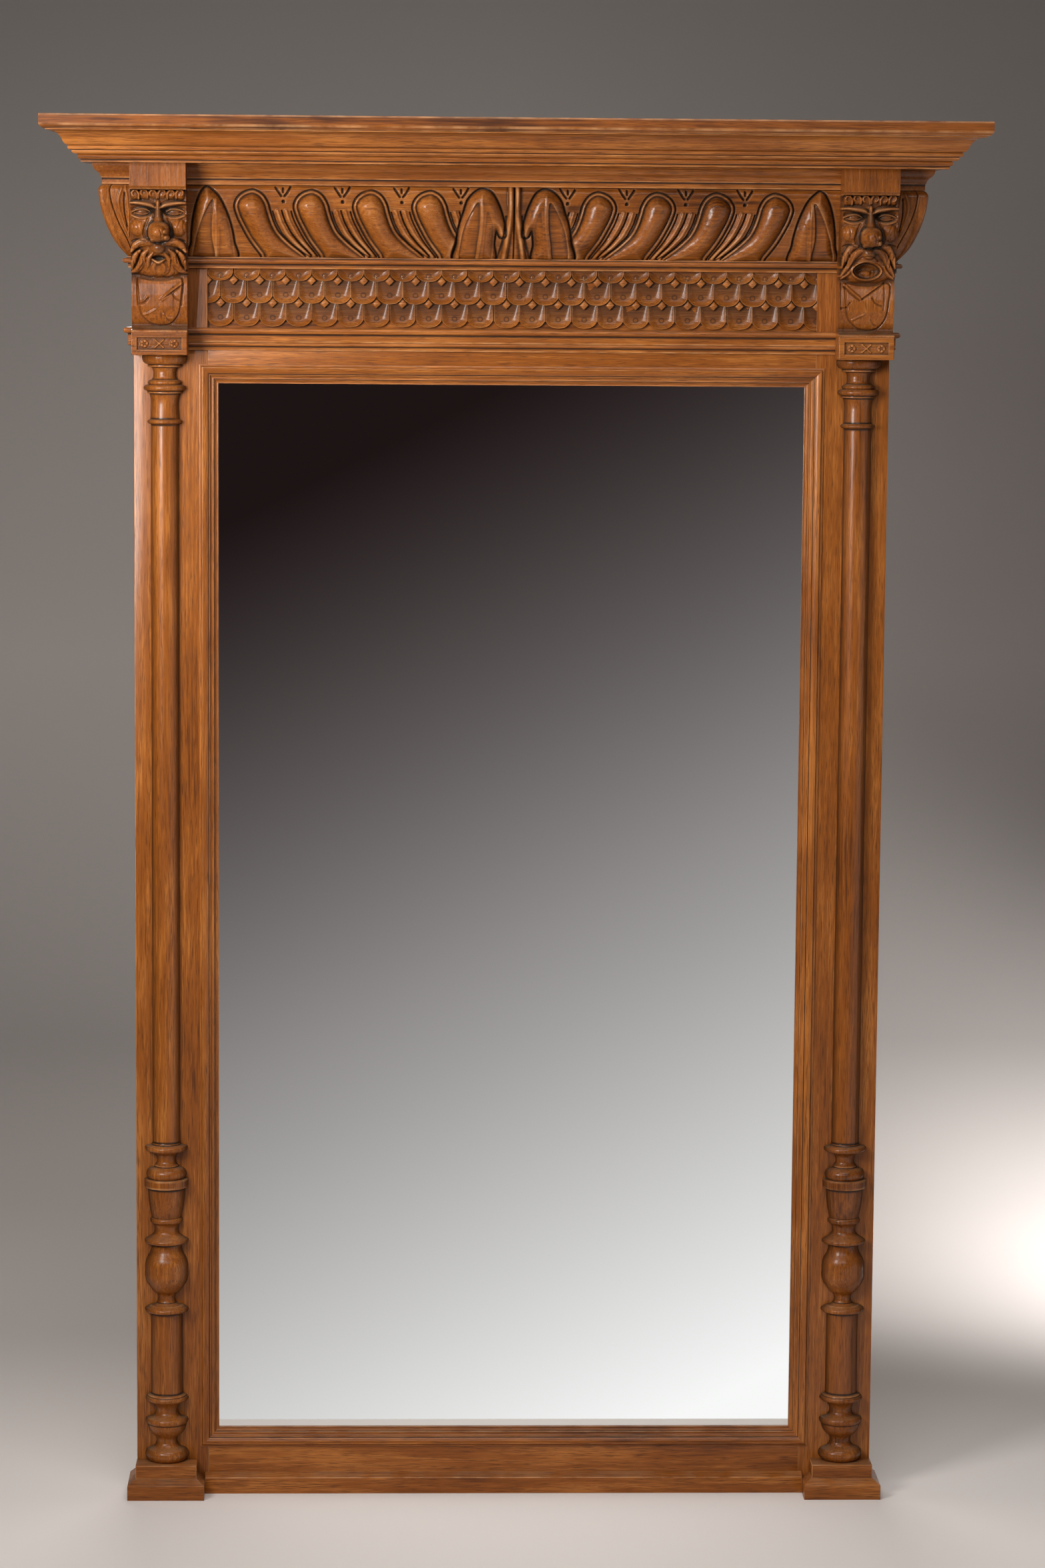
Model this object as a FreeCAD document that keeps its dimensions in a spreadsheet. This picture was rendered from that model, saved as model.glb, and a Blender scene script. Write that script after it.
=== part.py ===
"""Carved oak wall mirror: a joined frame with half columns, carved frieze and built-up cornice.

The part stands on the floor with +Z up, X to the viewer's right and Y from the front to the back.
Its origin is the middle of its footprint box. Every length is in millimetres.
"""
import FreeCAD, Part
import math
import os
import Sketcher

doc = FreeCAD.newDocument("carved_oak_mirror")
sheet = doc.addObject("Spreadsheet::Sheet", "Sizes")

# Driving dimensions, grouped by the piece that carries them
SIZES = {
    # Joined frame: two stiles and three rails, with the glass in the opening
    "frame_width": 1080.0,
    "frame_thickness": 32.0,
    "stile_width": 105.0,
    "bottom_rail_height": 80.5,
    "opening_height": 1560.5,
    "top_rail_height": 64.0,
    "tenon_length": 45.0,
    "tenon_thickness": 10.0,
    "tenon_setback": 6.0,
    "tenon_shoulder": 9.0,
    # Glass, its sight moulding, its blocks and the boards behind it
    "sight_moulding_width": 27.0,
    "sight_lip": 12.0,
    "sight_lip_height": 6.0,
    "sight_depth": 11.0,
    "glass_thickness": 5.0,
    "glass_clearance": 2.0,
    "glass_block_depth": 6.0,
    "glass_block_width": 15.0,
    "glass_block_length": 60.0,
    "back_rebate": 12.0,
    # Mouldings across the head of the frame, from the top rail upwards
    "strip_height": 32.0,
    "strip_reach": 13.6,
    "astragal_height": 16.0,
    "astragal_reach": 16.0,
    "frieze_height": 101.0,
    "frieze_reach": 47.5,
    "frieze_ground": 10.0,
    "gadroon_first": 119.0,
    "gadroon_pitch": 83.7,
    "gadroon_radius": 21.0,
    "gadroon_sweep": 58.0,
    "leaf_width": 66.0,
    "centre_leaf_gap": 9.0,
    "bed_height": 29.0,
    "bed_reach": 54.0,
    # Scale panel between the top rail and the upper rail
    "scale_panel_height": 84.0,
    "scale_relief": 7.0,
    "scale_board_thickness": 18.0,
    "scale_tongue": 8.0,
    "scale_tongue_thickness": 6.0,
    "scale_low_row": 2.0,
    "scale_middle_row": 34.5,
    "scale_high_row": 66.5,
    "scale_length": 38.0,
    # Consoles with masks, and the impost blocks under them
    "console_width": 78.5,
    "console_height": 236.0,
    "console_reach": 95.0,
    "nose_reach": 112.0,
    "impost_height": 32.0,
    "impost_reach": 58.0,
    "impost_border": 8.0,
    "impost_sink": 3.0,
    # Half columns, their plinths and the skirting between them
    "column_inset": 44.0,
    "column_radius": 33.0,
    "plinth_base_width": 112.0,
    "plinth_base_reach": 48.0,
    "plinth_base_height": 30.0,
    "plinth_bevel": 8.7,
    "plinth_die_width": 89.0,
    "plinth_die_reach": 37.7,
    "plinth_die_height": 19.5,
    "skirting_height": 30.0,
    "skirting_reach": 12.0,
    "skirting_bevel": 6.0,
    # Cornice: base board, crown moulding, back rail, corner blocks and top board
    "cornice_side_reach": 70.0,
    "cornice_front_reach": 123.0,
    "base_board_thickness": 11.0,
    "base_board_step": 4.0,
    "crown_height": 34.0,
    "crown_step": 2.0,
    "crown_foot": 24.0,
    "crown_reach": 39.5,
    "top_board_thickness": 20.0,
    "top_board_overhang": 8.5,
    "top_board_bevel": 5.0,
    "cornice_back_rail_thickness": 18.0,
    "corner_block_side": 25.0,
    "corner_block_length": 70.0,
    # Wood screws, and the sockets for two wall hooks in the backs of the stiles
    "screw_shank_radius": 2.25,
    "screw_head_radius": 4.5,
    "screw_head_height": 3.0,
    "back_screw_length": 24.0,
    "back_screw_inset": 6.0,
    "face_screw_length": 46.0,
    "cornice_screw_length": 40.0,
    "hook_socket_radius": 6.0,
    "hook_socket_depth": 22.0,
    "hook_socket_drop": 120.0,
}

# Counts
BACK_BOARDS = 5
SCALES_ACROSS = 23.5
GADROONS_PER_SIDE = 4
CORNER_BLOCKS = 6
SIDE_GLASS_BLOCKS = 4
END_GLASS_BLOCKS = 3
CORNICE_SCREWS = 5
COLUMN_SCREWS = 3
CONSOLE_SCREWS = 2
SIDES = {"left": -1, "right": 1}

# Outlines as shares of their own reach and height: across, up, and the bulge of the arc that ends there
STRIP_SHARES = [
    (0.0, 1.0), (0.72, 1.0), (0.72, 0.74, -0.9), (0.55, 0.72), (0.55, 0.36), (0.42, 0.36),
    (0.42, 0.20, -0.8), (0.26, 0.20), (0.26, 0.0), (0.0, 0.0),
]
ASTRAGAL_SHARES = [
    (0.0, 1.0), (0.55, 1.0), (0.55, 0.84), (0.74, 0.84), (0.74, 0.42, -0.85), (0.44, 0.40), (0.44, 0.0),
    (0.0, 0.0),
]
BED_SHARES = [
    (0.0, 1.0), (1.0, 1.0), (1.0, 0.93), (0.90, 0.62, -0.22), (0.79, 0.32, 0.22), (0.77, 0.28),
    (0.77, 0.0), (0.0, 0.0),
]
FRIEZE_SHARES = [
    (0.0, 1.0), (0.86, 1.0), (1.0, 0.90, -0.35), (0.62, 0.28, -0.10), (0.15, 0.0, -0.10), (0.0, 0.0),
]
CROWN_SHARES = [
    (0.0, 0.0), (0.14, 0.10, 0.3), (0.14, 0.17), (0.22, 0.17), (0.22, 0.34, 0.75), (0.31, 0.36),
    (0.44, 0.54, 0.2), (0.90, 0.95, -0.28), (1.0, 0.95), (1.0, 1.0),
]
CONSOLE_SHARES = [
    (0.0, 1.0), (1.0, 1.0), (1.0, 0.865), (0.95, 0.845), (0.82, 0.835), (0.76, 0.62, -0.06),
    (0.50, 0.36, -0.08), (0.44, 0.345), (0.50, 0.22, -0.2), (0.40, 0.045, -0.1), (0.60, 0.012, 0.35),
    (0.60, 0.0), (0.0, 0.0),
]
BASE_BOARD_FILLET_SHARE = 0.38
BASE_BOARD_BULGE_SHARE = 0.55
SCALE_ROUND_SHARE = 0.9

# Sight moulding: across its width, then up by a share of the lip's height or of the sight's depth
SIGHT_LIP_SHARES = [(0.0, 0.30), (0.16, 0.95, -0.35), (0.22, 0.95), (0.50, 0.25, 0.2), (0.56, 0.25)]
SIGHT_BODY_SHARES = [(0.75, 0.80, -0.6), (0.79, 0.52), (0.82, 0.52), (1.0, 0.34, -0.6)]

# Turned half column: radius and height as shares of the column, with the bulge of the arc that ends there
TURNING_SHARES = [
    (0.0, 0.0), (0.80, 0.0), (0.80, 0.0116, 0.6), (0.66, 0.0126), (0.52, 0.0148, -0.2),
    (0.46, 0.0190, -0.2), (0.56, 0.0232, -0.2), (0.87, 0.0343, 0.25), (0.87, 0.0402, 0.6),
    (0.66, 0.0412), (0.50, 0.0470, -0.3), (0.80, 0.0553, -0.3), (0.88, 0.0556), (0.88, 0.0600, 0.7),
    (0.86, 0.0612), (0.71, 0.0624), (0.70, 0.1372), (0.92, 0.1384), (0.92, 0.1422, 0.5), (0.72, 0.1446),
    (0.44, 0.1464, -0.2), (0.38, 0.1512, -0.2), (0.48, 0.1556, -0.2), (0.72, 0.1606, 0.2),
    (0.95, 0.1764, 0.25), (0.76, 0.1916, 0.2), (0.65, 0.2004, -0.1), (0.93, 0.2020),
    (0.93, 0.2054, 0.5), (0.70, 0.2082), (0.58, 0.2102), (0.53, 0.2145, -0.2), (0.60, 0.2192, -0.2),
    (0.64, 0.2198), (0.64, 0.2250, 0.7), (0.66, 0.2256), (0.82, 0.2518, 0.06), (0.97, 0.2532),
    (0.97, 0.2606), (0.82, 0.2612), (0.62, 0.2712, 0.6), (0.54, 0.2716), (0.54, 0.2730),
    (0.42, 0.2766, -0.2), (0.60, 0.2856, -0.3), (0.84, 0.2862), (0.84, 0.2914, 0.8), (0.66, 0.2922),
    (0.61, 0.2940), (0.60, 0.9384), (0.70, 0.9394), (0.70, 0.9422, 0.8), (0.62, 0.9432), (0.60, 0.9520),
    (0.66, 0.9656, -0.1), (0.76, 0.9660), (0.76, 0.9678), (0.82, 0.9682), (0.82, 0.9728, 0.8),
    (0.68, 0.9736), (0.68, 0.9768, 0.6), (0.54, 0.9782), (0.50, 0.9826, -0.2), (0.56, 0.9884, -0.2),
    (0.73, 0.9890), (0.73, 0.9912), (0.80, 0.9914), (0.98, 0.9966, 0.3), (0.92, 0.9992, 0.35),
    (0.92, 1.0), (0.0, 1.0),
]

# One gadroon: level, sweep towards the middle, radius and reach, as shares of the frieze and the gadroon
GADROON_SHARES = [
    (0.885, -0.03, 0.30, 0.93), (0.85, -0.02, 0.72, 0.99), (0.68, 0.0, 1.0, 0.95),
    (0.46, 0.18, 0.92, 0.79), (0.24, 0.55, 0.80, 0.56), (0.06, 1.0, 0.58, 0.28),
]
LEAF_SHARES = [(0.0, 0.0), (0.34, 0.94, -0.16), (0.54, 0.94, -0.7), (1.0, 0.0, -0.20)]

# Mask: middle across, forward and up, then half sizes across, forward and up, as shares of the console
MASK_SHARES = {
    "head": (0.50, 0.56, 0.640, 0.47, 0.40, 0.190),
    "brow_left": (0.29, 0.82, 0.735, 0.20, 0.15, 0.034),
    "brow_right": (0.71, 0.82, 0.735, 0.20, 0.15, 0.034),
    "cheek_left": (0.25, 0.75, 0.615, 0.19, 0.19, 0.058),
    "cheek_right": (0.75, 0.75, 0.615, 0.19, 0.19, 0.058),
    "muzzle": (0.50, 0.80, 0.565, 0.27, 0.21, 0.052),
    "beard_left": (0.23, 0.56, 0.470, 0.20, 0.21, 0.082),
    "beard_right": (0.77, 0.56, 0.470, 0.20, 0.21, 0.082),
    "chin": (0.50, 0.62, 0.440, 0.21, 0.20, 0.066),
}
NOSE_SHARES = (0.50, 0.637, 0.18, 0.26, 0.060)

# Places of screws along the pieces that they hold
COLUMN_SCREW_SHARES = (0.36, 0.50)
CONSOLE_SCREW_SHARES = (0.25, 0.50)
GLASS_BLOCK_SHARES = (0.12, 0.76)
CORNER_BLOCK_SHARE = 0.82


class Size:
    """A length that keeps both its value and the sheet expression that it comes from."""

    def __init__(self, text, value):
        self.text = text
        self.value = value

    @staticmethod
    def of(other):
        return other if isinstance(other, Size) else Size(repr(float(other)), float(other))

    def join(self, other, sign, value):
        return Size(f"({self.text} {sign} {Size.of(other).text})", value)

    def __add__(self, other):
        return self.join(other, "+", self.value + Size.of(other).value)

    def __sub__(self, other):
        return self.join(other, "-", self.value - Size.of(other).value)

    def __mul__(self, other):
        return self.join(other, "*", self.value * Size.of(other).value)

    def __truediv__(self, other):
        return self.join(other, "/", self.value / Size.of(other).value)

    def __rsub__(self, other):
        return Size.of(other) - self

    def __neg__(self):
        return Size.of(0) - self


def fill_sheet():
    """Writes the driving dimensions to the sheet and gives each one back as a Size."""
    sizes = {}
    for row, (name, value) in enumerate(SIZES.items(), start=1):
        sheet.set(f"A{row}", name)
        sheet.set(f"B{row}", str(value))
        sheet.setAlias(f"B{row}", name)
        sizes[name] = Size(f"Sizes.{name}", value)
    doc.recompute()
    return sizes


S = fill_sheet()
ZERO = Size.of(0)

# Depths: the face of the stiles is the plane that everything is set out from
CROWN_FOOT_OUT = S["cornice_front_reach"] + S["crown_step"]
CROWN_OUT = CROWN_FOOT_OUT + S["crown_reach"]
FRONT_REACH = CROWN_OUT + S["top_board_overhang"]
FACE = (FRONT_REACH - S["frame_thickness"]) / 2
BACK = FACE + S["frame_thickness"]
GLASS_FRONT = FACE + S["sight_depth"]
GLASS_BACK = GLASS_FRONT + S["glass_thickness"]
BOARD_FRONT = GLASS_BACK + S["glass_block_depth"]
TENON_FRONT = FACE + S["tenon_setback"]
TENON_BACK = TENON_FRONT + S["tenon_thickness"]

# Widths, from the middle of the mirror to one side
FRAME_HALF = S["frame_width"] / 2
OPENING_HALF = FRAME_HALF - S["stile_width"]
RECESS_HALF = OPENING_HALF + S["back_rebate"]
CONSOLE_IN = FRAME_HALF - S["console_width"]
COLUMN_AXIS = FRAME_HALF - S["column_inset"]
PLINTH_IN = COLUMN_AXIS - S["plinth_base_width"] / 2
PLINTH_OUT = COLUMN_AXIS + S["plinth_base_width"] / 2
BASE_BOARD_HALF = FRAME_HALF + S["cornice_side_reach"]
CROWN_FOOT_HALF = BASE_BOARD_HALF + S["crown_step"]
CROWN_HALF = CROWN_FOOT_HALF + S["crown_reach"]
CROWN_IN_HALF = CROWN_FOOT_HALF - S["crown_foot"]
CROWN_IN = FACE - (CROWN_FOOT_OUT - S["crown_foot"])
TOP_BOARD_HALF = CROWN_HALF + S["top_board_overhang"]

# Levels, from the floor upwards
OPENING_LOW = S["bottom_rail_height"]
OPENING_HIGH = OPENING_LOW + S["opening_height"]
TOP_RAIL_TOP = OPENING_HIGH + S["top_rail_height"]
PANEL_TOP = TOP_RAIL_TOP + S["scale_panel_height"]
FRIEZE_LOW = PANEL_TOP + S["astragal_height"]
BED_LOW = FRIEZE_LOW + S["frieze_height"]
STILE_TOP = BED_LOW + S["bed_height"]
CROWN_LOW = STILE_TOP + S["base_board_thickness"]
CROWN_TOP = CROWN_LOW + S["crown_height"]
TOP = CROWN_TOP + S["top_board_thickness"]
CONSOLE_LOW = STILE_TOP - S["console_height"]
IMPOST_LOW = CONSOLE_LOW - S["impost_height"]
DIE_TOP = S["plinth_base_height"] + S["plinth_die_height"]

nodes = {}


def bind(item, prop, length):
    """Binds one property of an object to a Size."""
    item.setExpression(prop, Size.of(length).text)


def place(item, x=ZERO, y=ZERO, z=ZERO):
    """Binds the place of an object to three Sizes."""
    for axis, length in zip("xyz", (x, y, z)):
        bind(item, f"Placement.Base.{axis}", length)


def keep(label, item):
    """Names an object as one of the pieces that are written out."""
    item.Label = label
    nodes[label] = item
    return item


def side_range(sign, low, high):
    """A range across the mirror, on the side that the sign gives."""
    return (low, high) if sign > 0 else (-high, -low)


def board(name, x, y, z):
    """A straight-sided board between two places on each axis."""
    item = doc.addObject("Part::Box", name)
    for prop, (low, high) in zip(("Length", "Width", "Height"), (x, y, z)):
        bind(item, prop, high - low)
    place(item, x[0], y[0], z[0])
    return item


def fuse(name, *parts):
    """One solid out of several parts."""
    item = doc.addObject("Part::MultiFuse", name)
    item.Shapes = list(parts)
    return item


def common(name, *parts):
    """The space that several parts share."""
    item = doc.addObject("Part::MultiCommon", name)
    item.Shapes = list(parts)
    return item


def cut(name, base, *tools):
    """A part with other parts cut out of it."""
    for index, tool in enumerate(tools):
        item = doc.addObject("Part::Cut", f"{name}_cut_{index}")
        item.Base = base
        item.Tool = tool
        base = item
    return base


def origin_feature(body, role):
    """One of a body's own origin planes or axes."""
    return next(part for part in body.Origin.OriginFeatures if part.Role == role)


def new_sketch(body, name, plane, offset=ZERO):
    """An empty sketch on an origin plane of its body, moved along the plane's normal."""
    sketch = body.newObject("Sketcher::SketchObject", name)
    sketch.AttachmentSupport = [(origin_feature(body, plane), "")]
    sketch.MapMode = "FlatFace"
    bind(sketch, "AttachmentOffset.Base.z", offset)
    return sketch


def hold(sketch, kind, geometry, point, length):
    """Holds one coordinate of a sketch point at a Size."""
    index = sketch.addConstraint(Sketcher.Constraint(kind, geometry, point, length.value))
    sketch.setExpression(f"Constraints[{index}]", length.text)


def add_run(sketch, start, end, bulge):
    """Adds one straight run or arc and gives back its geometry and its first and last points."""
    first = FreeCAD.Vector(start[0].value, start[1].value, 0)
    last = FreeCAD.Vector(end[0].value, end[1].value, 0)
    if bulge == 0:
        return sketch.addGeometry(Part.LineSegment(first, last)), 1, 2
    lift_share = (1 - bulge ** 2) / (4 * bulge)
    centre_u = (start[0] + end[0]) / 2 - (end[1] - start[1]) * lift_share
    centre_v = (start[1] + end[1]) / 2 + (end[0] - start[0]) * lift_share
    centre = FreeCAD.Vector(centre_u.value, centre_v.value, 0)
    begin, finish = (first, last) if bulge > 0 else (last, first)
    circle = Part.Circle(centre, FreeCAD.Vector(0, 0, 1), (first - centre).Length)
    angles = [math.atan2(spot.y - centre.y, spot.x - centre.x) for spot in (begin, finish)]
    geometry = sketch.addGeometry(Part.ArcOfCircle(circle, *angles))
    if abs(last.x - first.x) >= abs(last.y - first.y):
        hold(sketch, "DistanceY", geometry, 3, centre_v)
    else:
        hold(sketch, "DistanceX", geometry, 3, centre_u)
    return (geometry, 1, 2) if bulge > 0 else (geometry, 2, 1)


def draw(sketch, outline):
    """Draws a closed outline of straight runs and arcs, each corner held by two Sizes."""
    corners = [(Size.of(corner[0]), Size.of(corner[1])) for corner in outline]
    bulges = [corner[2] if len(corner) > 2 else 0 for corner in outline]
    runs = []
    for index, corner in enumerate(corners):
        runs.append(add_run(sketch, corners[index - 1], corner, bulges[index]))
    for index, (geometry, first, last) in enumerate(runs):
        before, _, before_last = runs[index - 1]
        sketch.addConstraint(Sketcher.Constraint("Coincident", before, before_last, geometry, first))
        hold(sketch, "DistanceX", geometry, last, corners[index][0])
        hold(sketch, "DistanceY", geometry, last, corners[index][1])
    return sketch


def prism(name, plane, outline, low, high):
    """An outline on one plane, padded between two places along the third axis."""
    body = doc.addObject("PartDesign::Body", name)
    start = -high if plane == "XZ_Plane" else low
    sketch = draw(new_sketch(body, f"{name}_outline", plane, start), outline)
    pad = body.newObject("PartDesign::Pad", f"{name}_pad")
    pad.Profile = sketch
    bind(pad, "Length", high - low)
    return body


def repeat(body, name, original, *runs):
    """Repeats a feature in rows; each run is an axis of the body, a length, a count and a way."""
    doc.recompute()
    pattern = body.newObject("PartDesign::LinearPattern", name)
    pattern.Originals = [original]
    for suffix, (axis, length, count, backwards) in zip(("", "2"), runs):
        setattr(pattern, f"Direction{suffix}", (origin_feature(body, axis), [""]))
        setattr(pattern, f"Reversed{suffix}", backwards)
        setattr(pattern, f"Occurrences{suffix}", count)
        bind(pattern, f"Length{suffix}", length)
    body.Tip = pattern
    return pattern


def rectangle(low_u, high_u, low_v, high_v):
    """A rectangular outline."""
    return [(low_u, low_v), (high_u, low_v), (high_u, high_v), (low_u, high_v)]


def moulding_outline(shares, reach, low, height, seat, sign):
    """A moulding's outline: its seat is a plane, and it stands out from that plane by its reach."""
    outline = []
    for share in shares:
        bulge = share[2] * sign if len(share) > 2 else 0
        outline.append((seat + reach * (share[0] * sign), low + height * share[1], bulge))
    return outline


def screw_grid(label, length, drive, place_at, spread, rise):
    """Countersunk wood screws in rows, driven towards the front or downwards."""
    body = doc.addObject("PartDesign::Body", label)
    body.AllowCompound = True
    head, shank = S["screw_head_radius"], S["screw_shank_radius"]
    sketch = new_sketch(body, f"{label}_outline", "XZ_Plane")
    point, neck = shank * 2 - length, -S["screw_head_height"]
    draw(sketch, [(ZERO, ZERO), (ZERO, -length), (shank, point), (shank, neck), (head, ZERO)])
    turned = body.newObject("PartDesign::Revolution", f"{label}_turned")
    turned.Profile = sketch
    turned.ReferenceAxis = (sketch, ["V_Axis"])
    rows = [("X_Axis", spread[0], spread[1], False)]
    if rise is not None:
        rows.append(("Y_Axis", rise[0], rise[1], True))
    repeat(body, f"{label}_rows", turned, *rows)
    if drive == "front":
        body.Placement.Rotation = FreeCAD.Rotation(FreeCAD.Vector(1, 0, 0), -90)
    place(body, *place_at)
    return keep(label, body)


def block_grid(label, x, y, z, spread, rise):
    """Small softwood blocks in rows across and up."""
    body = prism(label, "XY_Plane", rectangle(*x, *y), *z)
    body.AllowCompound = True
    rows = [("X_Axis", spread[0], spread[1], False)]
    if rise is not None:
        rows.append(("Z_Axis", rise[0], rise[1], False))
    repeat(body, f"{label}_rows", body.Tip, *rows)
    return keep(label, body)


def fasteners():
    """All screws, which also shape the holes that they sit in."""
    board_width = RECESS_HALF * (2 / BACK_BOARDS)
    column_height = IMPOST_LOW - DIE_TOP
    console_middle = (CONSOLE_IN + FRAME_HALF) / 2
    frame_middle = (FACE + BACK) / 2
    rise = S["opening_height"] + S["back_screw_inset"] * 2
    low_share, rise_share = COLUMN_SCREW_SHARES
    foot_share, step_share = CONSOLE_SCREW_SHARES
    return {
        "back": screw_grid(
            "back_screws", S["back_screw_length"], "front",
            (board_width / 4 - RECESS_HALF, BACK, OPENING_LOW - S["back_screw_inset"]),
            (board_width * (BACK_BOARDS - 0.5), BACK_BOARDS * 2), (rise, 2)),
        "column": screw_grid(
            "column_screws", S["face_screw_length"], "front",
            (-COLUMN_AXIS, BACK, DIE_TOP + column_height * low_share),
            (COLUMN_AXIS * 2, 2), (column_height * rise_share, COLUMN_SCREWS)),
        "console": screw_grid(
            "console_screws", S["face_screw_length"], "front",
            (-console_middle, BACK, CONSOLE_LOW + S["console_height"] * foot_share),
            (console_middle * 2, 2), (S["console_height"] * step_share, CONSOLE_SCREWS)),
        "cornice": screw_grid(
            "cornice_screws", S["cornice_screw_length"], "down",
            (-COLUMN_AXIS, frame_middle, CROWN_LOW), (COLUMN_AXIS * 2, CORNICE_SCREWS), None),
    }


def rail(label, low, high):
    """A rail between the stiles with a tenon at each end."""
    blank = board(f"{label}_blank", (-OPENING_HALF, OPENING_HALF), (FACE, BACK), (low, high))
    reach = OPENING_HALF + S["tenon_length"]
    levels = (low + S["tenon_shoulder"], high - S["tenon_shoulder"])
    tenon = board(f"{label}_tenon", (-reach, reach), (TENON_FRONT, TENON_BACK), levels)
    return fuse(f"{label}_joined", blank, tenon)


def hook_socket(side):
    """A blind bore in the back of a stile that slips over a wall hook."""
    socket = doc.addObject("Part::Cylinder", f"hook_socket_{side}")
    bind(socket, "Radius", S["hook_socket_radius"])
    bind(socket, "Height", S["hook_socket_depth"])
    socket.Placement.Rotation = FreeCAD.Rotation(FreeCAD.Vector(1, 0, 0), 90)
    place(socket, COLUMN_AXIS * SIDES[side], BACK, STILE_TOP - S["hook_socket_drop"])
    return socket


def joined_frame(screws):
    """Stiles and rails, mortised and tenoned round the opening, with the carved scale panel tongued in."""
    recess_levels = (OPENING_LOW - S["back_rebate"], OPENING_HIGH + S["back_rebate"])
    recess = board("back_recess", (-RECESS_HALF, RECESS_HALF), (BOARD_FRONT, BACK), recess_levels)
    tongue_front = FACE + S["scale_relief"] + S["scale_tongue_thickness"]
    tongue = board(
        "scale_panel_tongue", (-OPENING_HALF, OPENING_HALF),
        (tongue_front, tongue_front + S["scale_tongue_thickness"]),
        (TOP_RAIL_TOP - S["scale_tongue"], PANEL_TOP + S["scale_tongue"]))
    low_rail = rail("bottom_rail", ZERO, OPENING_LOW)
    high_rail = rail("top_rail", OPENING_HIGH, TOP_RAIL_TOP)
    upper_rail = rail("upper_rail", PANEL_TOP, STILE_TOP)
    keep("bottom_rail", cut("bottom_rail", low_rail, recess, screws["back"]))
    keep("top_rail", cut("top_rail", high_rail, recess, tongue, screws["back"]))
    keep("upper_rail", cut("upper_rail", upper_rail, tongue, screws["cornice"]))
    for side, sign in SIDES.items():
        x = side_range(sign, OPENING_HALF, FRAME_HALF)
        blank = board(f"stile_{side}_blank", x, (FACE, BACK), (ZERO, STILE_TOP))
        rails = [recess, low_rail, high_rail, upper_rail]
        holes = [screws["column"], screws["console"], screws["cornice"], hook_socket(side)]
        keep(f"stile_{side}", cut(f"stile_{side}", blank, *rails, *holes))
    scale_panel(tongue)


def scale_row(name, low, start):
    """One row of scales with round lower ends, each leaning out from its top to its tip."""
    pitch = OPENING_HALF * (2 / SCALES_ACROSS)
    top = low + S["scale_length"]
    ground = FACE + S["scale_relief"]
    count = math.ceil(SCALES_ACROSS)
    end, shoulder = start + pitch, low + pitch / 2
    outline = [(start, top), (start, shoulder), (end, shoulder, SCALE_ROUND_SHARE), (end, top)]
    scales = prism(f"{name}_scales", "XZ_Plane", outline, FACE, ground)
    repeat(scales, f"{name}_repeat", scales.Tip, ("X_Axis", pitch * (count - 1), count, False))
    slope = [(FACE, low), (ground, low), (ground, top)]
    wedge = prism(f"{name}_slope", "YZ_Plane", slope, -OPENING_HALF, OPENING_HALF)
    return common(name, scales, wedge)


def scale_panel(tongue):
    """The panel of overlapping scales under the frieze."""
    pitch = OPENING_HALF * (2 / SCALES_ACROSS)
    ground = FACE + S["scale_relief"]
    base = board(
        "scale_panel_board", (-OPENING_HALF, OPENING_HALF),
        (ground, ground + S["scale_board_thickness"]), (TOP_RAIL_TOP, PANEL_TOP))
    trim = board("scale_panel_trim", (-OPENING_HALF, OPENING_HALF), (FACE, ground), (TOP_RAIL_TOP, PANEL_TOP))
    starts = {"low": -OPENING_HALF, "middle": -OPENING_HALF - pitch / 2, "high": -OPENING_HALF}
    rows = []
    for row, start in starts.items():
        rows.append(scale_row(f"scale_row_{row}", TOP_RAIL_TOP + S[f"scale_{row}_row"], start))
    scales = common("scale_rows_trimmed", fuse("scale_rows", *rows), trim)
    keep("scale_panel", fuse("scale_panel", base, tongue, scales))


def sight_outline(across, forward, sign):
    """The sight moulding's outline, given how its width and its height map to the drawing plane."""
    width, lip = S["sight_moulding_width"], S["sight_lip_height"]
    points = [(ZERO, ZERO, 0)]
    for share in SIGHT_LIP_SHARES:
        points.append((width * share[0], lip * share[1], share[2] if len(share) > 2 else 0))
    for share in SIGHT_BODY_SHARES:
        height = S["sight_depth"] * (share[1] - 1)
        points.append((width * share[0], height, share[2] if len(share) > 2 else 0))
    points.append((width, -S["sight_depth"], 0))
    points.append((S["sight_lip"], -S["sight_depth"], 0))
    points.append((S["sight_lip"], ZERO, 0))
    outline = []
    for point in points:
        spot = {across: point[0], forward: point[1]}
        outline.append((spot["u"], spot["v"], point[2] * sign))
    return outline


def sight_mouldings():
    """Four mitred lengths of moulding that lap the frame's edge and hold the glass."""
    width = S["sight_moulding_width"]
    outer = OPENING_HALF + S["sight_lip"]
    low, high = OPENING_LOW - S["sight_lip"], OPENING_HIGH + S["sight_lip"]
    depth = (FACE - S["sight_lip_height"], GLASS_FRONT)
    for side, sign in SIDES.items():
        label = f"sight_moulding_{side}"
        section = sight_outline("u", "v", sign)
        outline = [(outer * sign - u * sign, FACE - v, bulge) for u, v, bulge in section]
        run = prism(f"{label}_run", "XY_Plane", outline, low, high)
        edge, inner = outer * sign, (outer - width) * sign
        mitre = [(edge, low), (inner, low + width), (inner, high - width), (edge, high)]
        keep(label, common(label, run, prism(f"{label}_mitre", "XZ_Plane", mitre, *depth)))
    for label, edge, sign in (("sight_moulding_bottom", low, 1), ("sight_moulding_top", high, -1)):
        outline = [(FACE - u, edge + v * sign, bulge) for u, v, bulge in sight_outline("v", "u", sign)]
        run = prism(f"{label}_run", "YZ_Plane", outline, -outer, outer)
        inner = edge + width * sign
        mitre = [(-outer, edge), (outer, edge), (outer - width, inner), (width - outer, inner)]
        keep(label, common(label, run, prism(f"{label}_mitre", "XZ_Plane", mitre, *depth)))


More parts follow.
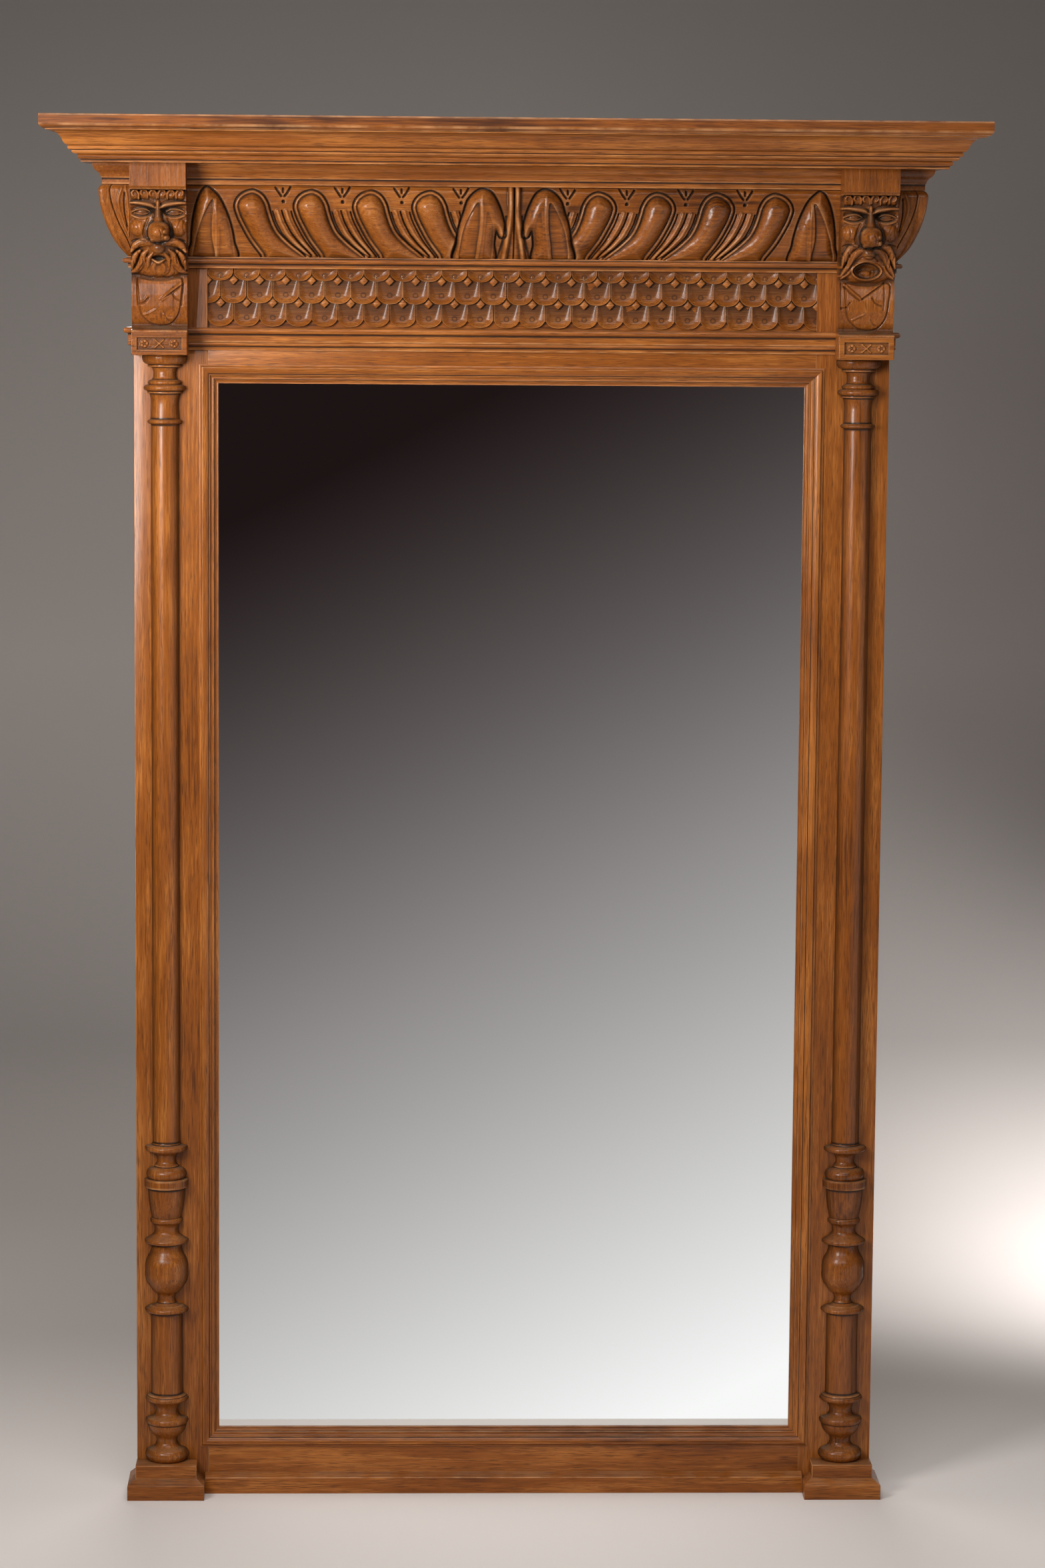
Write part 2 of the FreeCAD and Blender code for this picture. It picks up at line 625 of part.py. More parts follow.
def glazing(screws):
    """Mirror glass, the blocks that hold it and the boards that close the back."""
    gap = S["glass_clearance"]
    half = OPENING_HALF - gap
    levels = (OPENING_LOW + gap, OPENING_HIGH - gap)
    keep("mirror_glass", board("mirror_glass", (-half, half), (GLASS_FRONT, GLASS_BACK), levels))
    depth = (GLASS_BACK, BOARD_FRONT)
    side, length = S["glass_block_width"], S["glass_block_length"]
    first_share, spread_share = GLASS_BLOCK_SHARES
    low = OPENING_LOW + S["opening_height"] * first_share
    block_grid(
        "side_glass_blocks", (-OPENING_HALF, side - OPENING_HALF), depth, (low, low + length),
        (OPENING_HALF * 2 - side, 2), (S["opening_height"] * spread_share, SIDE_GLASS_BLOCKS))
    left = OPENING_HALF * (2 * first_share - 1)
    block_grid(
        "end_glass_blocks", (left, left + length), depth, (OPENING_LOW, OPENING_LOW + side),
        (OPENING_HALF * (2 * spread_share) - length, END_GLASS_BLOCKS), (S["opening_height"] - side, 2))
    board_width = RECESS_HALF * (2 / BACK_BOARDS)
    board_levels = (OPENING_LOW - S["back_rebate"], OPENING_HIGH + S["back_rebate"])
    for index in range(BACK_BOARDS):
        x = (board_width * index - RECESS_HALF, board_width * (index + 1) - RECESS_HALF)
        label = f"back_board_{index + 1}"
        keep(label, cut(label, board(f"{label}_blank", x, (BOARD_FRONT, BACK), board_levels), screws["back"]))


def face_moulding(label, shares, reach, low, height):
    """A moulding across the face of the frame, between the two consoles."""
    outline = moulding_outline(shares, reach, low, height, FACE, -1)
    return keep(label, prism(label, "YZ_Plane", outline, -CONSOLE_IN, CONSOLE_IN))


def side_returns(label, shares, reach, low, height):
    """The same moulding, turned round the corners of the frame and run back to the wall."""
    front = moulding_outline(shares, reach, low, height, FACE, -1)
    for side, sign in SIDES.items():
        name = f"{label}_{side}"
        x = side_range(sign, FRAME_HALF, FRAME_HALF + reach)
        flank = moulding_outline(shares, reach, low, height, FRAME_HALF * sign, sign)
        run = prism(f"{name}_front", "YZ_Plane", front, *x)
        tail = prism(f"{name}_tail", "YZ_Plane", rectangle(FACE, BACK, low, low + height), *x)
        turned = prism(f"{name}_flank", "XZ_Plane", flank, FACE - reach, BACK)
        keep(name, common(name, fuse(f"{name}_run", run, tail), turned))


def gadroon(body, sign):
    """A row of gadroons, each a lobe that sweeps down towards the middle of the frieze."""
    sections = []
    for index, (level, sweep, swell, reach) in enumerate(GADROON_SHARES):
        side = "right" if sign > 0 else "left"
        name = f"gadroon_{side}_section_{index}"
        sketch = new_sketch(body, name, "XY_Plane", FRIEZE_LOW + S["frieze_height"] * level)
        radius = S["gadroon_radius"] * swell
        middle_x = (S["gadroon_first"] - S["gadroon_sweep"] * sweep) * sign
        middle_y = FACE - (S["frieze_reach"] * reach - radius)
        middle = FreeCAD.Vector(middle_x.value, middle_y.value, 0)
        ring = sketch.addGeometry(Part.Circle(middle, FreeCAD.Vector(0, 0, 1), radius.value))
        hold(sketch, "DistanceX", ring, 3, middle_x)
        hold(sketch, "DistanceY", ring, 3, middle_y)
        index = sketch.addConstraint(Sketcher.Constraint("Radius", ring, radius.value))
        sketch.setExpression(f"Constraints[{index}]", radius.text)
        sections.append(sketch)
    lobe = body.newObject("PartDesign::AdditiveLoft", f"gadroon_{side}")
    lobe.Profile = sections[0]
    lobe.Sections = sections[1:]
    spread = S["gadroon_pitch"] * (GADROONS_PER_SIDE - 1)
    repeat(body, f"gadroon_{side}_row", lobe, ("X_Axis", spread, GADROONS_PER_SIDE, sign < 0))


def gadroon_frieze():
    """The carved frieze: a swelling ground with gadroons, and leaves at its ends and its middle."""
    height, reach = S["frieze_height"], S["frieze_reach"]
    outline = moulding_outline(FRIEZE_SHARES, reach - S["frieze_ground"], FRIEZE_LOW, height, FACE, -1)
    ground = prism("frieze_ground", "YZ_Plane", outline, -CONSOLE_IN, CONSOLE_IN)
    for sign in SIDES.values():
        gadroon(ground, sign)
    swell = moulding_outline(FRIEZE_SHARES, reach, FRIEZE_LOW, height, FACE, -1)
    leaves = []
    for side, sign in SIDES.items():
        starts = {"end": CONSOLE_IN - S["leaf_width"], "middle": S["centre_leaf_gap"]}
        for spot, start in starts.items():
            name = f"leaf_{spot}_{side}"
            shape = moulding_outline(LEAF_SHARES, S["leaf_width"], FRIEZE_LOW, height, start * sign, sign)
            leaf = prism(f"{name}_shape", "XZ_Plane", shape, FACE - reach, FACE)
            x = side_range(sign, start, start + S["leaf_width"])
            leaves.append(common(name, leaf, prism(f"{name}_swell", "YZ_Plane", swell, *x)))
    trim = board("frieze_trim", (-CONSOLE_IN, CONSOLE_IN), (FACE - reach, FACE), (FRIEZE_LOW, BED_LOW))
    keep("frieze_front", common("frieze_front", fuse("frieze_carved", ground, *leaves), trim))
    side_returns("frieze_return", FRIEZE_SHARES, reach, FRIEZE_LOW, height)


def head_mouldings():
    """The strip, the astragal and the bed moulding, with their returns."""
    strip_low = TOP_RAIL_TOP - S["strip_height"]
    face_moulding("strip_moulding_front", STRIP_SHARES, S["strip_reach"], strip_low, S["strip_height"])
    side_returns("strip_return", STRIP_SHARES, S["strip_reach"], strip_low, S["strip_height"])
    face_moulding("astragal_front", ASTRAGAL_SHARES, S["astragal_reach"], PANEL_TOP, S["astragal_height"])
    side_returns("astragal_return", ASTRAGAL_SHARES, S["astragal_reach"], PANEL_TOP, S["astragal_height"])
    face_moulding("bed_moulding_front", BED_SHARES, S["bed_reach"], BED_LOW, S["bed_height"])
    side_returns("bed_return", BED_SHARES, S["bed_reach"], BED_LOW, S["bed_height"])


def rounded(name, middle, half):
    """A rounded form of the mask, by its middle and its half sizes across, in depth and up."""
    form = doc.addObject("Part::Ellipsoid", name)
    for prop, length in zip(("Radius2", "Radius3", "Radius1"), half):
        bind(form, prop, length)
    place(form, *middle)
    return form


def console(side, screws):
    """A scrolled console with a plain cap, a beast's mask and a leaf panel under it."""
    sign = SIDES[side]
    width, reach, height = S["console_width"], S["console_reach"], S["console_height"]
    left, right = side_range(sign, CONSOLE_IN, FRAME_HALF)
    outline = moulding_outline(CONSOLE_SHARES, reach, CONSOLE_LOW, height, FACE, -1)
    forms = [prism(f"console_{side}_block", "YZ_Plane", outline, left, right)]
    for name, (across, forward, up, half_x, half_y, half_z) in MASK_SHARES.items():
        middle = (left + width * across, FACE - reach * forward, CONSOLE_LOW + height * up)
        half = (width * half_x, reach * half_y, height * half_z)
        forms.append(rounded(f"mask_{name}_{side}", middle, half))
    across, up, half_x, half_y, half_z = NOSE_SHARES
    middle = (left + width * across, FACE - S["nose_reach"] + reach * half_y, CONSOLE_LOW + height * up)
    forms.append(rounded(f"mask_nose_{side}", middle, (width * half_x, reach * half_y, height * half_z)))
    room = (FACE - S["nose_reach"], FACE)
    trim = board(f"console_{side}_trim", (left, right), room, (CONSOLE_LOW, STILE_TOP))
    whole = common(f"console_{side}_carved", fuse(f"console_{side}_forms", *forms), trim)
    keep(f"console_{side}", cut(f"console_{side}", whole, screws["console"]))
    front = FACE - S["impost_reach"]
    border = S["impost_border"]
    block = board(f"impost_{side}_block", (left, right), (front, FACE), (IMPOST_LOW, CONSOLE_LOW))
    panel = board(
        f"impost_{side}_panel", (left + border, right - border), (front, front + S["impost_sink"]),
        (IMPOST_LOW + border, CONSOLE_LOW - border))
    keep(f"impost_{side}", cut(f"impost_{side}", block, panel))


def half_column(side, screws):
    """A turned column, split down its middle and fixed to the face of the stile."""
    label = f"column_{side}"
    body = doc.addObject("PartDesign::Body", f"{label}_turning")
    height = IMPOST_LOW - DIE_TOP
    sketch = draw(
        new_sketch(body, f"{label}_outline", "XZ_Plane"),
        moulding_outline(TURNING_SHARES, S["column_radius"], ZERO, height, ZERO, 1))
    turned = body.newObject("PartDesign::Revolution", f"{label}_half_turn")
    turned.Profile = sketch
    turned.ReferenceAxis = (sketch, ["V_Axis"])
    turned.Angle = 180
    turned.Reversed = True
    place(body, COLUMN_AXIS * SIDES[side], FACE, DIE_TOP)
    keep(label, cut(label, body, screws["column"]))


def plinth(side):
    """The bevelled base that wraps the foot of a stile, and the die that the column stands on."""
    sign = SIDES[side]
    height, shoulder = S["plinth_base_height"], S["plinth_base_height"] - S["plinth_bevel"]
    inset = (S["plinth_base_width"] - S["plinth_die_width"]) / 2
    left, right = side_range(sign, PLINTH_IN, PLINTH_OUT)
    front = FACE - S["plinth_base_reach"]
    die_front = FACE - S["plinth_die_reach"]
    across = [
        (left, ZERO), (right, ZERO), (right, shoulder),
        (right - inset, height), (left + inset, height), (left, shoulder),
    ]
    along = [(front, ZERO), (BACK, ZERO), (BACK, height), (die_front, height), (front, shoulder)]
    name = f"plinth_base_{side}"
    block = common(
        f"{name}_block", prism(f"{name}_across", "XZ_Plane", across, front, BACK),
        prism(f"{name}_along", "YZ_Plane", along, left, right))
    foot = board(f"{name}_foot", side_range(sign, OPENING_HALF, FRAME_HALF), (FACE, BACK), (ZERO, height))
    keep(name, cut(name, block, foot))
    die_name = f"plinth_die_{side}"
    keep(die_name, board(die_name, (left + inset, right - inset), (die_front, FACE), (height, DIE_TOP)))


def skirting():
    """The bevelled strip along the floor between the plinths."""
    front = FACE - S["skirting_reach"]
    shoulder = S["skirting_height"] - S["skirting_bevel"]
    outline = [(front, ZERO), (FACE, ZERO), (FACE, S["skirting_height"]), (front, shoulder)]
    keep("skirting_strip", prism("skirting_strip", "YZ_Plane", outline, -PLINTH_IN, PLINTH_IN))


def edged_board(label, half, front, low, high, edge):
    """A board with a worked edge on its front and both ends; edge maps a level to how far it stands back."""
    across = [(half - back, level, bulge) for back, level, bulge in edge]
    across += [(back - half, level, 0) for back, level, bulge in reversed(edge)]
    for index, (_, _, bulge) in enumerate(edge):
        if bulge:
            spot = len(across) - index
            across[spot] = (across[spot][0], across[spot][1], bulge)
    along = [(front + back, level, -bulge) for back, level, bulge in edge]
    along += [(BACK, high, 0), (BACK, low, 0)]
    return common(
        label, prism(f"{label}_across", "XZ_Plane", across, front, BACK),
        prism(f"{label}_along", "YZ_Plane", along, -half, half))


def crown(front_foot):
    """The crown moulding: a mitred front length and two returns that run back to the wall."""
    reach, foot = S["crown_reach"], S["crown_foot"]
    outer = FACE - CROWN_OUT
    section = moulding_outline(CROWN_SHARES, reach, CROWN_LOW, S["crown_height"], front_foot, -1)
    section += [(CROWN_IN, CROWN_TOP), (CROWN_IN, CROWN_LOW)]
    run = prism("crown_front_run", "YZ_Plane", section, -CROWN_HALF, CROWN_HALF)
    mitre = [(-CROWN_HALF, outer), (CROWN_HALF, outer), (CROWN_IN_HALF, CROWN_IN), (-CROWN_IN_HALF, CROWN_IN)]
    plan = prism("crown_front_mitre", "XY_Plane", mitre, CROWN_LOW, CROWN_TOP)
    keep("crown_front", common("crown_front", run, plan))
    for side, sign in SIDES.items():
        name = f"crown_return_{side}"
        inner = (CROWN_FOOT_HALF - foot) * sign
        seat = CROWN_FOOT_HALF * sign
        flank = moulding_outline(CROWN_SHARES, reach, CROWN_LOW, S["crown_height"], seat, sign)
        flank += [(inner, CROWN_TOP), (inner, CROWN_LOW)]
        length = prism(f"{name}_run", "XZ_Plane", flank, outer, BACK)
        corner = [(CROWN_HALF * sign, outer), (inner, CROWN_IN), (inner, BACK), (CROWN_HALF * sign, BACK)]
        keep(name, common(name, length, prism(f"{name}_mitre", "XY_Plane", corner, CROWN_LOW, CROWN_TOP)))


def cornice(screws):
    """Base board, crown moulding, back rail, corner blocks and top board."""
    step, fillet = S["base_board_step"], S["base_board_thickness"] * BASE_BOARD_FILLET_SHARE
    bead = step / 2
    edge = [
        (step, STILE_TOP, 0), (step, STILE_TOP + fillet, 0),
        (bead, STILE_TOP + fillet, 0), (bead, CROWN_LOW, BASE_BOARD_BULGE_SHARE),
    ]
    base = edged_board(
        "cornice_base_edged", BASE_BOARD_HALF, FACE - S["cornice_front_reach"], STILE_TOP, CROWN_LOW, edge)
    keep("cornice_base_board", cut("cornice_base_board", base, screws["cornice"]))
    crown(FACE - CROWN_FOOT_OUT)
    rail_front = BACK - S["cornice_back_rail_thickness"]
    keep("cornice_back_rail", board(
        "cornice_back_rail", (-CROWN_IN_HALF, CROWN_IN_HALF), (rail_front, BACK), (CROWN_LOW, CROWN_TOP)))
    side, length = S["corner_block_side"], S["corner_block_length"]
    half = CROWN_IN_HALF * CORNER_BLOCK_SHARE
    block_grid(
        "corner_blocks", (-half, length - half), (CROWN_IN, CROWN_IN + side), (CROWN_LOW, CROWN_LOW + side),
        (half * 2 - length, CORNER_BLOCKS), None)
    bevel = S["top_board_bevel"]
    edge = [(bevel, CROWN_TOP, 0), (ZERO, CROWN_TOP + bevel, 0), (ZERO, TOP, 0)]
    keep("cornice_top_board", edged_board(
        "cornice_top_board", TOP_BOARD_HALF, FACE - FRONT_REACH, CROWN_TOP, TOP, edge))


def build():
    """Builds every piece of the mirror."""
    screws = fasteners()
    joined_frame(screws)
    sight_mouldings()
    glazing(screws)
    head_mouldings()
    gadroon_frieze()
    for side in SIDES:
        console(side, screws)
        half_column(side, screws)
        plinth(side)
    skirting()
    cornice(screws)
    doc.recompute()


def check():
    """Stops if any object failed or any piece is not a valid solid."""
    for item in doc.Objects:
        if "Invalid" in item.State or "Error" in item.State:
            raise RuntimeError(f"{item.Label} failed: {item.State}")
    for label, item in nodes.items():
        shape = item.Shape
        if shape.isNull() or not shape.isValid() or not shape.Solids:
            raise RuntimeError(f"{label} is not a valid solid")


def write():
    """Writes each piece to its own file."""
    os.makedirs("parts", exist_ok=True)
    for label, item in nodes.items():
        item.Shape.exportStep(os.path.join("parts", f"{label}.step"))
        box = item.Shape.BoundBox
        size = f"{box.XLength:.1f} x {box.YLength:.1f} x {box.ZLength:.1f} mm"
        print(f"{label}: {len(item.Shape.Solids)} solid(s), {size}")


build()
check()
write()
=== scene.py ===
"""Visual model of a carved oak overmantel mirror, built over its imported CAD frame."""
import logging
import math
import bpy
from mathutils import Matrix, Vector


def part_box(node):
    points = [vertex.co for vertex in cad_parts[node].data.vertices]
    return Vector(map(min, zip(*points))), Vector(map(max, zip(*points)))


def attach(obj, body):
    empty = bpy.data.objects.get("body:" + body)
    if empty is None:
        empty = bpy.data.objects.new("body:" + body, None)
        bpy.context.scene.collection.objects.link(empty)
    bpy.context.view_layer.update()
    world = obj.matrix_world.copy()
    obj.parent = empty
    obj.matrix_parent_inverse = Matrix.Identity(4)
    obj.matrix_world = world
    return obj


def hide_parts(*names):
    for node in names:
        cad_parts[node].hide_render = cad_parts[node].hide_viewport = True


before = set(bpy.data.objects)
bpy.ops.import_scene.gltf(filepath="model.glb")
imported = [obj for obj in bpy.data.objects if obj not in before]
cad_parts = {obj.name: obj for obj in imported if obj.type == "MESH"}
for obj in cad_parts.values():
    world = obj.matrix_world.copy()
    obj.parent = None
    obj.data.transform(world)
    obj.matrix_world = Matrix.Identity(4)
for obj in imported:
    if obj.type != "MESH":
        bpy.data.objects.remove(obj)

import zlib
from collections.abc import Callable, Sequence
from dataclasses import dataclass
from enum import Enum
from typing import Any

import bmesh
import bpy
import numpy as np
from mathutils import Matrix, Vector

MM = 0.001
TINY = 1e-9
WELD = 1e-6
FLAT_ANGLE = math.radians(1)
SHARP_ANGLE = math.radians(25)
CORNER_ANGLE = math.radians(22)
ARC_STEP = math.radians(9)
CREASE = 38.0
Point = tuple[float, ...]
Colour = tuple[float, float, float]
Window = tuple[slice, slice]
# The points of a line, half of its width and its rise
Stroke = tuple[Sequence[Point], float, float]
# A middle, half sizes, the base, the rise, how square it is and how far its joint is rounded
Dome = tuple[Point, Point, float, float, float, float]
log = logging.getLogger("mirror")


class Axis(Enum):
    """The row's axes."""

    X = 0
    Y = 1
    Z = 2


class Grain(Enum):
    """Which axes run along the wood's fibres, across them and into the board."""

    ALONG_X = (0, 2, 1)
    ALONG_Y = (1, 2, 0)
    ALONG_Z = (2, 0, 1)


class Side(Enum):
    """The two sides of the mirror, as a sign on X."""

    LEFT = -1
    RIGHT = 1

    @property
    def word(self) -> str:
        """The side's word in node names."""
        return self.name.lower()


def span(node: str, axis: Axis) -> tuple[float, float]:
    """Where a CAD node lies along an axis.

    Args:
        node: The CAD node's name.
        axis: The axis to measure along.

    Returns:
        The lowest and highest places, in millimetres.
    """
    low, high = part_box(node)
    return low[axis.value] / MM, high[axis.value] / MM


@dataclass(frozen=True)
class Datum:
    """The planes and levels of the CAD frame that the visual pieces are set out from, in millimetres."""

    face: float
    back: float
    frame_half: float
    console_in: float
    column_axis: float
    strip_top: float
    panel_top: float
    frieze_low: float
    bed_low: float
    stile_top: float
    console_low: float
    impost_low: float
    die_top: float

    @classmethod
    def from_frame(cls) -> "Datum":
        """Reads the planes from the CAD nodes.

        Returns:
            The datum of this frame.
        """
        column = span("column_right", Axis.X)
        return cls(
            face=span("stile_left", Axis.Y)[0],
            back=span("stile_left", Axis.Y)[1],
            frame_half=span("stile_right", Axis.X)[1],
            console_in=span("console_right", Axis.X)[0],
            column_axis=sum(column) / 2,
            strip_top=span("strip_moulding_front", Axis.Z)[1],
            panel_top=span("astragal_front", Axis.Z)[0],
            frieze_low=span("frieze_front", Axis.Z)[0],
            bed_low=span("bed_moulding_front", Axis.Z)[0],
            stile_top=span("stile_left", Axis.Z)[1],
            console_low=span("console_left", Axis.Z)[0],
            impost_low=span("impost_left", Axis.Z)[0],
            die_top=span("plinth_die_left", Axis.Z)[1],
        )

    def to_face(self, rim: np.ndarray) -> np.ndarray:
        """Points of a rim, moved straight back to the frame's face."""
        return rim * np.array([1, 0, 1]) + np.array([0, self.face, 0])


class Wire:
    """A node socket that takes part in arithmetic."""

    def __init__(self, graph: "Graph", socket: bpy.types.NodeSocket) -> None:
        """Keeps a socket and the graph that it belongs to."""
        self.graph = graph
        self.socket = socket

    def _math(self, operation: str, first: Any, second: Any) -> "Wire":
        """The result of one operation on two values."""
        return self.graph.node("ShaderNodeMath", {0: first, 1: second}, operation=operation)

    def __add__(self, other: Any) -> "Wire":
        """This value and another one."""
        return self._math("ADD", self, other)

    def __radd__(self, other: Any) -> "Wire":
        """Another value and this one."""
        return self._math("ADD", other, self)

    def __sub__(self, other: Any) -> "Wire":
        """This value less another one."""
        return self._math("SUBTRACT", self, other)

    def __rsub__(self, other: Any) -> "Wire":
        """Another value less this one."""
        return self._math("SUBTRACT", other, self)

    def __mul__(self, other: Any) -> "Wire":
        """This value times another one."""
        return self._math("MULTIPLY", self, other)

    def __truediv__(self, other: Any) -> "Wire":
        """This value by another one."""
        return self._math("DIVIDE", self, other)

    def __pow__(self, other: Any) -> "Wire":
        """This value to a power."""
        return self._math("POWER", self, other)


class Graph:
    """A node tree with one method that adds any node."""

    def __init__(self, tree: bpy.types.NodeTree) -> None:
        """Keeps the node tree that is added to."""
        self.tree = tree

    def node(self, kind: str, inputs: dict[Any, Any], output: Any = 0, **settings: Any) -> Wire:
        """Adds a node and fills its inputs.

        Args:
            kind: The node's type name.
            inputs: Input name or number to a Wire or a plain value.
            output: The output that is handed on.
            **settings: Properties of the node, and a ramp's stops as places and colours.

        Returns:
            The chosen output.
        """
        made = self.tree.nodes.new(kind)
        for name, value in settings.items():
            if name == "stops":
                self._fill_ramp(made.color_ramp, value)
            else:
                setattr(made, name, value)
        for key, value in inputs.items():
            if isinstance(value, Wire):
                self.tree.links.new(value.socket, made.inputs[key])
            else:
                made.inputs[key].default_value = value
        return Wire(self, made.outputs[output])

    @staticmethod
    def _fill_ramp(ramp: bpy.types.ColorRamp, stops: Sequence[tuple[float, Colour]]) -> None:
        """Gives a ramp its stops, which are in rising order.

        Args:
            ramp: The ramp.
            stops: Places and colours.
        """
        ramp.elements[0].position, ramp.elements[1].position = stops[0][0], stops[-1][0]
        for place, _ in stops[1:-1]:
            ramp.elements.new(place)
        for element, (_, colour) in zip(ramp.elements, stops):
            element.color = (*colour, 1.0)

    def band(self, value: Wire, low: float, high: float) -> Wire:
        """A value brought to the range 0 to 1, smoothly, between two limits."""
        ranged = {"Value": value, "From Min": low, "From Max": high}
        return self.node("ShaderNodeMapRange", ranged, interpolation_type="SMOOTHSTEP")

    def feed(self, value: Wire, shader: bpy.types.ShaderNode, name: str) -> None:
        """Leads a value into a named input of a shader."""
        self.tree.links.new(value.socket, shader.inputs[name])

    def mix(self, share: Any, first: Any, second: Any) -> Wire:
        """Two colours mixed by a share."""
        return self.node("ShaderNodeMix", {0: share, 6: first, 7: second}, output=2, data_type="RGBA")

    def noise(self, vector: Wire, stretch: Point, detail: float) -> Wire:
        """Noise over coordinates that are stretched on each axis.

        Args:
            vector: The coordinates.
            stretch: Their factor on each axis.
            detail: How many finer layers the noise has.

        Returns:
            The noise, from 0 to 1.
        """
        scaled = self.node("ShaderNodeVectorMath", {0: vector, 1: stretch}, operation="MULTIPLY")
        inputs = {"Vector": scaled, "Scale": 1.0, "Detail": detail}
        return self.node("ShaderNodeTexNoise", inputs, output="Fac")


def new_material(name: str) -> tuple[bpy.types.Material, Graph, bpy.types.ShaderNode]:
    """A material with an empty Principled shader.

    Args:
        name: The material's name.

    Returns:
        The material, its graph and its Principled node.
    """
    material = bpy.data.materials.new(name)
    material.use_nodes = True
    return material, Graph(material.node_tree), material.node_tree.nodes["Principled BSDF"]


@dataclass(frozen=True)
class WoodFinish:
    """A wood with its grain and pores, dirt and painted shade in its hollows, wear on its edges and dust on
    its ledges.
    """

    name: str
    dark: Colour
    middle: Colour
    light: Colour
    grime: Colour
    rubbed: Colour
    dust: Colour
    roughness: float
    coat: float
    ring_mm: float
    grime_share: float
    dust_share: float
    drift: Point = (1.3, 7.0, 7.0)
    wander: Point = (6.0, 45.0, 45.0)
    streaks: Point = (14.0, 300.0, 300.0)
    fibres: Point = (42.0, 1400.0, 1400.0)
    blush: Point = (5.0, 18.0, 18.0)
    smear: Point = (34.0, 34.0, 34.0)
    drift_reach: float = 0.035
    wander_reach: float = 0.004
    ring_share: float = 0.18
    streak_share: float = 0.90
    blush_share: float = 1.20
    tone_share: float = 0.12
    body: float = 0.53
    ring_pores: float = 0.10
    pore_share: float = 0.66
    grime_power: float = 0.72
    wear_share: float = 0.55
    bump: float = 0.28
    bump_depth: float = 0.0006
    specular: float = 0.17
    coat_roughness: float = 0.17

    def material(self) -> bpy.types.Material:
        """Builds the finish.

        Returns:
            The material.
        """
        made, graph, shader = new_material(self.name)
        colours = (self.dark, self.middle, self.light, self.grime, self.rubbed, self.dust)
        dark, middle, light, grime, rubbed, dust = ((*colour, 1.0) for colour in colours)
        wood = graph.node("ShaderNodeAttribute", {}, output="Vector", attribute_name="wood")
        tone, dirt, wear = (
            graph.node("ShaderNodeAttribute", {}, output="Fac", attribute_name=label)
            for label in ("tone", "dirt", "wear"))
        across, deep = (graph.node("ShaderNodeSeparateXYZ", {0: wood}, output=axis) for axis in (1, 2))
        pith = (across * across + deep * deep) ** 0.5
        drift = graph.noise(wood, self.drift, 2.0) * self.drift_reach
        wander = graph.noise(wood, self.wander, 2.0) * self.wander_reach
        turns = (pith + drift + wander) * (2 * math.pi / (self.ring_mm * MM))
        rings = graph.node("ShaderNodeMath", {0: turns}, operation="SINE") * 0.5
        streaks = graph.noise(wood, self.streaks, 4.0)
        fibres = graph.noise(wood, self.fibres, 2.0)
        blush = graph.noise(wood, self.blush, 4.0)
        smear = graph.noise(wood, self.smear, 3.0)
        body = rings * self.ring_share + (streaks - 0.5) * self.streak_share
        body = body + (blush - 0.5) * self.blush_share + tone * self.tone_share + self.body
        low = graph.mix(graph.band(body, 0.0, 0.52), dark, middle)
        grown = graph.mix(graph.band(body, 0.48, 1.0), low, light)
        pores = graph.band(fibres + rings * self.ring_pores, 0.50, 0.68)
        porous = graph.mix(pores * self.pore_share, grown, dark)
        # Dirt and painted shade: hollows and inner corners are darkened towards the grime colour.
        held = dirt ** self.grime_power * self.grime_share * graph.band(smear, 0.0, 0.40)
        soiled_and_shaded = graph.mix(held, porous, grime)
        worn = graph.mix(wear * graph.band(smear, 0.25, 0.7) * self.wear_share, soiled_and_shaded, rubbed)
        normal = graph.node("ShaderNodeNewGeometry", {}, output="Normal")
        upward = graph.band(graph.node("ShaderNodeSeparateXYZ", {0: normal}, output=2), 0.55, 0.95)
        dusty = graph.mix(upward * graph.band(smear, 0.2, 0.75) * self.dust_share, worn, dust)
        gloss = (0.5 - streaks) * 0.3 + dirt * 0.3 + upward * self.dust_share * 0.5 + self.roughness
        relief = fibres * 0.5 + streaks * 0.5 - pores * 0.4
        height = {"Strength": self.bump, "Distance": self.bump_depth, "Height": relief}
        graph.feed(dusty, shader, "Base Color")
        graph.feed(gloss, shader, "Roughness")
        graph.feed(graph.node("ShaderNodeBump", height), shader, "Normal")
        shader.inputs["Specular IOR Level"].default_value = self.specular
        shader.inputs["Coat Weight"].default_value = self.coat
        shader.inputs["Coat Roughness"].default_value = self.coat_roughness
        return made


@dataclass(frozen=True)
class MetalFinish:
    """A plain metal or a mirror, with cloudy stains."""

    name: str
    colour: Colour
    roughness: float
    mottle: float
    stain: Colour = (0.08, 0.05, 0.03)
    clouds: Point = (60.0, 60.0, 60.0)
    stain_roughness: float = 0.3

    def material(self) -> bpy.types.Material:
        """Builds the finish.

        Returns:
            The material.
        """
        made, graph, shader = new_material(self.name)
        place = graph.node("ShaderNodeTexCoord", {}, output="Object")
        cloud = graph.noise(place, self.clouds, 4.0) * self.mottle
        graph.feed(graph.mix(cloud, (*self.colour, 1.0), (*self.stain, 1.0)), shader, "Base Color")
        graph.feed(cloud * self.stain_roughness + self.roughness, shader, "Roughness")
        shader.inputs["Metallic"].default_value = 1.0
        return made


